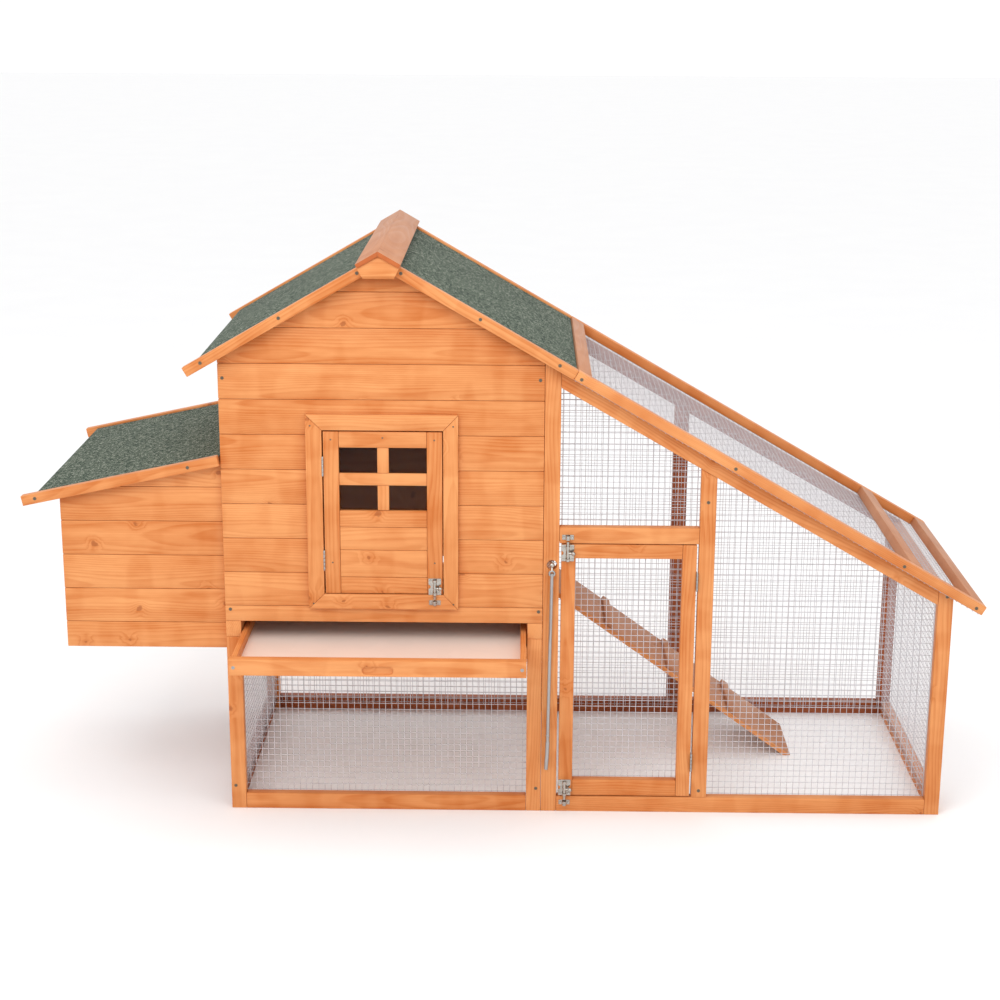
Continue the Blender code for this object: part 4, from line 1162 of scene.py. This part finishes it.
def build_wire_mesh():
    lap = 0.016
    behind, before = BOARD + GAP, BACK - GAP - 0.0023
    base = (BOARD + 2 * GAP, RAIL - lap)
    top = LOWER_RAIL[0] - GAP
    front = [oblong(base[0], base[1], HOUSE - POST + lap, top)]
    mesh_sheet("mesh_under_house", "coop", "mesh_front_house", "xz", behind, front)

    left, right = TALL_POST[1] - 0.0035, LENGTH - BOARD - 2 * GAP - 0.0023
    corner = (MID_POST[0] + lap, MID_RAIL[1] - lap)

    def slant(x):
        return roof_z(x, SLANT_LOW - lap)

    parts = [
        [(corner[0], base[1]), (right, base[1]), (right, slant(right)),
            (corner[0], slant(corner[0]))],
        [(left, corner[1]), corner, (corner[0], slant(corner[0])), (left, slant(left))],
    ]
    mesh_sheet("mesh_run_front", "coop", "mesh_front_run", "xz", behind, parts)
    wall = HOUSE + 0.007
    parts = [
        [(wall, base[1]), (right, base[1]), (right, slant(right)), (wall, slant(wall))],
        oblong(base[0], base[1], wall, top),
    ]
    mesh_sheet("mesh_run_back", "coop", "mesh_back", "xz", before, parts)
    sides = (BOARD + 0.004, BACK - 0.004)
    mesh_sheet("mesh_left_side", "coop", "mesh_left", "yz", behind,
        [oblong(sides[0], base[1], sides[1], top)])
    end_top = roof_z(LENGTH, UNDER_RUN_ROOF) - 0.010
    inside = LENGTH - BOARD - GAP - 0.0023
    mesh_sheet("mesh_run_end", "coop", "mesh_right", "yz", inside,
        [oblong(sides[0], base[1], sides[1], end_top)])
    start = HOUSE_ROOF + GAP * 2
    roof = oblong(start, ROOF_Y[0] + 0.004, RUN_ROOF_END - 0.004, ROOF_Y[1] - 0.004)
    level = -RUN_RAIL[1] - GAP - 0.0023
    mesh_sheet("mesh_run_roof", "coop", "mesh_roof", "xy", level, [roof], RIDGE, SLOPE)
    (left, low), (right, high) = RUN_DOOR
    gate = oblong(
        left + RUN_STILE - lap, low + RUN_DOOR_RAILS[0] - lap, right - RUN_STILE + lap,
        high - RUN_DOOR_RAILS[1] + lap
    )
    mesh_sheet("mesh_gate", "run_door", "mesh_run_door", "xz", behind, [gate])


# ---------------------------------------------------------------- ironmongery


def copies(name, pattern, places):
    """One piece of many copies of a pattern, each turned from -Y to its own direction."""
    made = []
    for point, facing in places:
        copy = pattern.copy()
        copy.data = pattern.data.copy()
        bpy.context.scene.collection.objects.link(copy)
        turn = Vector((0, -1, 0)).rotation_difference(Vector(facing))
        copy.matrix_world = Matrix.Translation(at(*point)) @ turn.to_matrix().to_4x4()
        made.append(copy)
    piece = joined(name, made)
    apply_place(piece)
    return piece


def make_screw_head():
    """A countersunk screw head with a cross recess, facing -Y."""
    head = bar("screw_pattern", (0, 0.0004, 0), (0, -0.0007, 0), 0.0034, 16)
    for width, height in ((0.0007, 0.0036), (0.0036, 0.0007)):
        cut_out(head, block("cutter", (-width / 2, -0.002, -height / 2),
            (width / 2, -0.0002, height / 2)))
    ease(head, 0.00018, 30, 1)
    return head


def screws(name, body, places, pattern, finish="zinc"):
    fit(copies(name, pattern, places), body, finish)


def build_screws():
    pattern = make_screw_head()
    front, back = (0, -1, 0), (0, 1, 0)
    places = []
    for side in (-1, 1):
        for along in (0.048, 0.222, 0.398):
            x = RIDGE[0] + side * along * math.cos(SLOPE)
            z = RIDGE[1] - along * math.sin(SLOPE) - 0.0105
            places.append(((x, ROOF_Y[0], z), front))
            places.append(((x, ROOF_Y[1], z), back))
    for along in (HOUSE_ROOF + 0.012, 0.80, 1.19, RUN_ROOF_END - 0.018):
        x = RIDGE[0] + along * math.cos(SLOPE) - 0.005
        z = RIDGE[1] - along * math.sin(SLOPE) - 0.0105
        places.append(((x, ROOF_Y[0], z), front))
        places.append(((x, ROOF_Y[1], z), back))
    for x, z in (
        (0.009, 0.902), (0.625, 0.902), (0.010, 0.431), (0.626, 0.431),
        (0.009, 0.050), (0.624, 0.050), (0.957, 0.660), (0.957, 0.048), (1.437, 0.470),
    ):
        places.append(((x, 0.0, z), front))
    for x, z in (
        (0.014, 0.014), (1.437, 0.014), (0.650, 0.050), (0.947, 0.050), (0.650, 0.880),
        (0.014, 0.345), (0.014, 0.424), (0.620, 0.424), (0.009, 0.917), (0.625, 0.917),
        (1.437, 0.470),
    ):
        places.append(((x, DEPTH, z), back))
    for y in (0.010, 0.560):
        places += [((LENGTH, y, 0.014), (1, 0, 0)), ((LENGTH, y, 0.450), (1, 0, 0)),
            ((0, y, 0.340), (-1, 0, 0))]
    screws("frame_screws", "coop", places, pattern, "dull_zinc")
    tray_places = [((x, TRAY_Y[0], 0.5 * sum(TRAY_Z)), front) for x in (0.040, 0.594)]
    screws("tray_screws", "tray", tray_places, pattern)
    lid = []
    for along in (0.06, 0.37):
        x = NEST_HINGE[0] - along * math.cos(NEST_SLOPE)
        z = NEST_HINGE[1] - along * math.sin(NEST_SLOPE) - 0.010
        lid += [((x, NEST_LID_Y[0], z), front), ((x, NEST_LID_Y[1], z), back)]
    screws("lid_screws", "nest_lid", lid, pattern, "dull_zinc")
    nail = bar("nail_pattern", (0, 0.0004, 0), (0, -0.0003, 0), 0.0017, 12)
    ease(nail, 0.00012, 30, 1)
    corners = [((x, TRIM_Y[0], z), front) for x in (0.178, 0.4565) for z in (0.448, 0.811)]
    screws("trim_nails", "coop", corners, nail, "dull_zinc")
    leaf_nails = [((x, LEAF_Y[0] + 0.0006, 0.787), front) for x in (0.3187,)]
    leaf_nails += [((x, LEAF_Y[0], z), front) for x in (0.2175, 0.4195) for z in (0.533, 0.783)]
    screws("leaf_nails", "house_door", leaf_nails, nail, "dull_zinc")
    for spare in (pattern, nail):
        bpy.data.objects.remove(spare, do_unlink=True)


def strap(name, x, y, z, face, radius=0.0042, width=0.0055):
    """A bent strap over a bolt: a half tube with two feet against a face."""
    wall = 0.0009
    tube = bar(name, (x, y, z - width / 2), (x, y, z + width / 2), radius + wall, 20)
    cut_out(tube, bar("cutter", (x, y, z - width), (x, y, z + width), radius, 20))
    saw(tube, [((x, face, z), (0, 1, 0))])
    feet = [
        block(
            name,
            (x + s * radius if s > 0 else x - radius - wall, y, z - width / 2),
            (x + radius + wall if s > 0 else x - radius, face, z + width / 2),
        )
        for s in (-1, 1)
    ]
    half = joined(name, [tube, *feet])
    return half


def build_latch(name, door, body, x, face, z, way, keeper_face):
    """A barrel bolt: plate, two straps, bolt with its knob, and the keeper on the frame."""
    axis = face - GAP - 0.0012 - 0.005
    back = face - GAP
    plate = block(f"{name}_plate", (x - 0.0125, back - 0.0011, z - 0.017),
        (x + 0.0125, back, z + 0.017))
    cut_out(plate, block("cutter", (x - 0.0035, back - 0.01, z - 0.0045),
        (x + 0.0035, back + 0.01, z + 0.0045)))
    for s in (-1, 1):
        side = x + s * 0.0125
        cut_out(plate, bar("cutter", (side, back - 0.01, z), (side, back + 0.01, z), 0.0042,
            20))
    parts = [plate]
    for s in (-1, 1):
        parts.append(strap("strap", x, axis, z + s * 0.0130, back - 0.0006, 0.0034))
    head = []
    for s in (-1, 1):
        for t in (-1, 1):
            px, pz = x + s * 0.0088, z + t * 0.0125
            head.append(bar("rivet", (px, back, pz), (px, back - 0.0022, pz), 0.0021, 14))
    case = joined(f"{name}_case_plate", parts + head)
    ease(case, 0.00022, 40, 1)
    settle(case)
    fit(case, door, "nickel", f"{name}_case")

    tip, tail = z + way * 0.0245, z - way * 0.0130
    rod = bar(f"{name}_rod", (x, axis, tail), (x, axis, tip), 0.0029, 20)
    knob_z = z + way * 0.0015
    bpy.ops.object.select_all(action="DESELECT")
    stem = bar("knob", (x, axis, knob_z), (x + 0.0085, axis - 0.0031, knob_z), 0.0025, 16)
    bpy.ops.object.select_all(action="DESELECT")
    bpy.ops.mesh.primitive_uv_sphere_add(
        segments=18, ring_count=10, radius=0.0044, location=(x + 0.0108, axis - 0.0038, knob_z)
    )
    ball = name_piece(bpy.context.active_object, "ball")
    apply_place(ball)
    bolt = joined(f"{name}_bolt_rod", [rod, stem, ball])
    ease(bolt, 0.0006, 40, 2)
    settle(bolt)
    fit(bolt, body, "nickel", f"{name}_bolt")

    middle = z + way * 0.0325
    ears = block(f"{name}_keeper", (x - 0.0115, keeper_face - 0.0013, middle - 0.005),
        (x + 0.0115, keeper_face - 0.0002, middle + 0.005))
    loop = strap("loop", x, axis, middle, keeper_face - 0.0006, 0.0036, 0.009)
    pins = [
        bar("pin", (x + s * 0.0085, keeper_face, middle),
            (x + s * 0.0085, keeper_face - 0.0026, middle), 0.0023, 14)
        for s in (-1, 1)
    ]
    keeper = joined(f"{name}_keeper", [ears, loop, *pins])
    ease(keeper, 0.00022, 40, 1)
    settle(keeper)
    fit(keeper, "coop", "nickel")


def build_hinge(name, door, axis, low, high, leaf):
    """A butt hinge: the two outer knuckles stay with the frame and the middle ones with the door."""
    x, y = axis
    step = (high - low) / 5
    fixed, swinging = [], []
    for index in range(5):
        start = low + index * step
        knuckle = bar("knuckle", (x, y, start), (x, y, start + step - 0.0004), 0.0019, 14)
        (swinging if index % 2 else fixed).append(knuckle)
    fixed.append(bar("pin", (x, y, low - 0.0008), (x, y, high + 0.0004), 0.0011, 12))
    swinging.append(block("leaf", (x, y, low), (x + leaf, y + 0.012, high)))
    for part, pieces, body in (("frame", fixed, "coop"), ("leaf", swinging, door)):
        hinge = joined(f"{name}_{part}", pieces)
        ease(hinge, 0.0002, 40, 1)
        settle(hinge)
        fit(hinge, body, "zinc")


def build_rod():
    """The pull rod: an eye, a long rod and a bent handle; and the cup in the post that holds it."""
    x, z, radius = ROD_HOLE
    y = ROD_Y
    low, high = ROD_Z
    lean = -0.0045
    path = [
        (x, y, high), (x + lean * 0.3, y, high - 0.10), (x + lean, y, low + 0.075),
        (x + lean, y - 0.0005, low + 0.060), (x + lean * 1.2, y - 0.0030, low + 0.035),
        (x + lean * 1.5, y - 0.0035, low + 0.012), (x + lean * 1.6, y - 0.0035, low + 0.003),
    ]
    parts = []
    for start, end in zip(path, path[1:]):
        parts.append(bar("rod", start, end, ROD if start[2] > low + 0.074 else 0.0040, 16))
    for point in path[1:-1]:
        bpy.ops.object.select_all(action="DESELECT")
        size = ROD if point[2] > low + 0.078 else 0.0040
        bpy.ops.mesh.primitive_uv_sphere_add(segments=16, ring_count=8, radius=size,
            location=point)
        joint = name_piece(bpy.context.active_object, "joint")
        apply_place(joint)
        parts.append(joint)
    bpy.ops.object.select_all(action="DESELECT")
    bpy.ops.mesh.primitive_torus_add(
        major_segments=24, minor_segments=10, major_radius=0.0052, minor_radius=0.0020,
        location=(x, y, high), rotation=(math.pi / 2, 0, 0),
    )
    eye = name_piece(bpy.context.active_object, "eye")
    apply_place(eye)
    rod = joined("pull_rod_bar", [*parts, eye])
    ease(rod, 0.0, 50)
    settle(rod)
    fit(rod, "pull_rod", "zinc", "pull_rod")
    cup = bar("rod_staple", (x, 0.016, z), (x, -0.0030, z), 0.0042, 18)
    hook = bar("hook", (x, -0.0020, z), (x, ROD_Y, z - 0.0100), 0.0022, 12)
    bpy.ops.object.select_all(action="DESELECT")
    bpy.ops.mesh.primitive_uv_sphere_add(segments=18, ring_count=10, radius=0.0053,
        location=(x, -0.0036, z + 0.0010))
    ball = name_piece(bpy.context.active_object, "ball")
    apply_place(ball)
    staple = joined("rod_staple", [cup, hook, ball])
    ease(staple, 0.0004, 40, 2)
    settle(staple)
    fit(staple, "coop", "nickel")


def build_ironmongery():
    build_screws()
    build_latch("house_latch", "house_door", "house_latch", 0.4195, LEAF_Y[0], 0.4845, -1,
        TRIM_Y[0])
    top, low = RUN_DOOR[1][1] - 0.0175, RUN_DOOR[0][1] + 0.0175
    build_latch("run_latch_top", "run_door", "run_latch_top", 0.6825, 0.0, top, 1, 0.0)
    build_latch("run_latch_low", "run_door", "run_latch_low", 0.6825, 0.0, low, -1, 0.0)
    for index, (low, high) in enumerate(((0.517, 0.558), (0.710, 0.749))):
        build_hinge(f"house_hinge_{index}", "house_door", HOUSE_HINGE, low, high, 0.0012)
    for index, (low, high) in enumerate(((0.092, 0.130), (0.478, 0.516))):
        build_hinge(f"run_hinge_{index}", "run_door", RUN_HINGE, low, high, -0.0012)
    build_rod()


# ---------------------------------------------------------------- stage


def build_stage():
    bpy.ops.object.select_all(action="DESELECT")
    bpy.ops.mesh.primitive_plane_add(size=60.0, location=(0, 0, 0))
    floor = name_piece(bpy.context.active_object, "floor")
    material, tree, shader = new_material("pale_floor")
    coordinates = put(tree, "ShaderNodeTexCoord").outputs["Object"]
    cloud, _ = noise(tree, coordinates, 3.0, 4.0, 0.6)
    tint = blend_colours(tree, cloud, (0.90, 0.90, 0.91, 1), (0.94, 0.94, 0.94, 1))
    feed(tree, shader.inputs["Base Color"], tint)
    shader.inputs["Roughness"].default_value = 0.9
    floor.data.materials.append(material)

    world = bpy.data.worlds.new("studio")
    world.use_nodes = True
    world.node_tree.nodes["Background"].inputs["Color"].default_value = (1, 1, 1, 1)
    world.node_tree.nodes["Background"].inputs["Strength"].default_value = 1.06
    bpy.context.scene.world = world
    for name, place, size, power in (
        ("key", (-0.9, -2.1, 2.5), 1.6, 29.0),
        ("fill", (1.9, -2.6, 2.0), 1.6, 12.0),
        ("top", (0.2, 0.5, 3.6), 3.0, 16.0),
    ):
        light = bpy.data.lights.new(name, "AREA")
        light.size = size
        light.energy = power
        lamp = bpy.data.objects.new(name, light)
        lamp.location = place
        aim = Vector((0.0, 0.0, 0.7)) - Vector(place)
        lamp.rotation_euler = aim.to_track_quat("-Z", "Y").to_euler()
        bpy.context.scene.collection.objects.link(lamp)
    bpy.context.scene.view_settings.view_transform = "Standard"


def place_camera():
    yaw, pitch, roll = -0.011901, 0.268719, 0.005118
    ahead = Vector(
        (math.sin(yaw) * math.cos(pitch), math.cos(yaw) * math.cos(pitch), -math.sin(pitch))
    )
    right = Vector((math.cos(yaw), -math.sin(yaw), 0.0))
    up = right.cross(ahead)
    right_turned = math.cos(roll) * right + math.sin(roll) * up
    up_turned = math.cos(roll) * up - math.sin(roll) * right
    data = bpy.data.cameras.new("camera")
    data.sensor_width = 36.0
    data.lens = 68.48
    camera = bpy.data.objects.new("camera", data)
    turn = Matrix((right_turned, up_turned, -ahead)).transposed().to_4x4()
    camera.matrix_world = Matrix.Translation(at(0.590746, -3.601099, 1.653597)) @ turn
    bpy.context.scene.collection.objects.link(camera)
    bpy.context.scene.camera = camera


place_camera()
build_posts()
build_rails()
build_house_frames()
build_walls()
build_house_roof()
build_ridge()
build_run_roof()
build_nest_box()
build_house_door()
build_run_door()
build_tray()
build_inside()
build_wire_mesh()
build_ironmongery()
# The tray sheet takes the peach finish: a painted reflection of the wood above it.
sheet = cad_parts["tray_sheet"]
sheet.data.materials.clear()
sheet.data.materials.append(finishes["tray_sheet"])
build_stage()
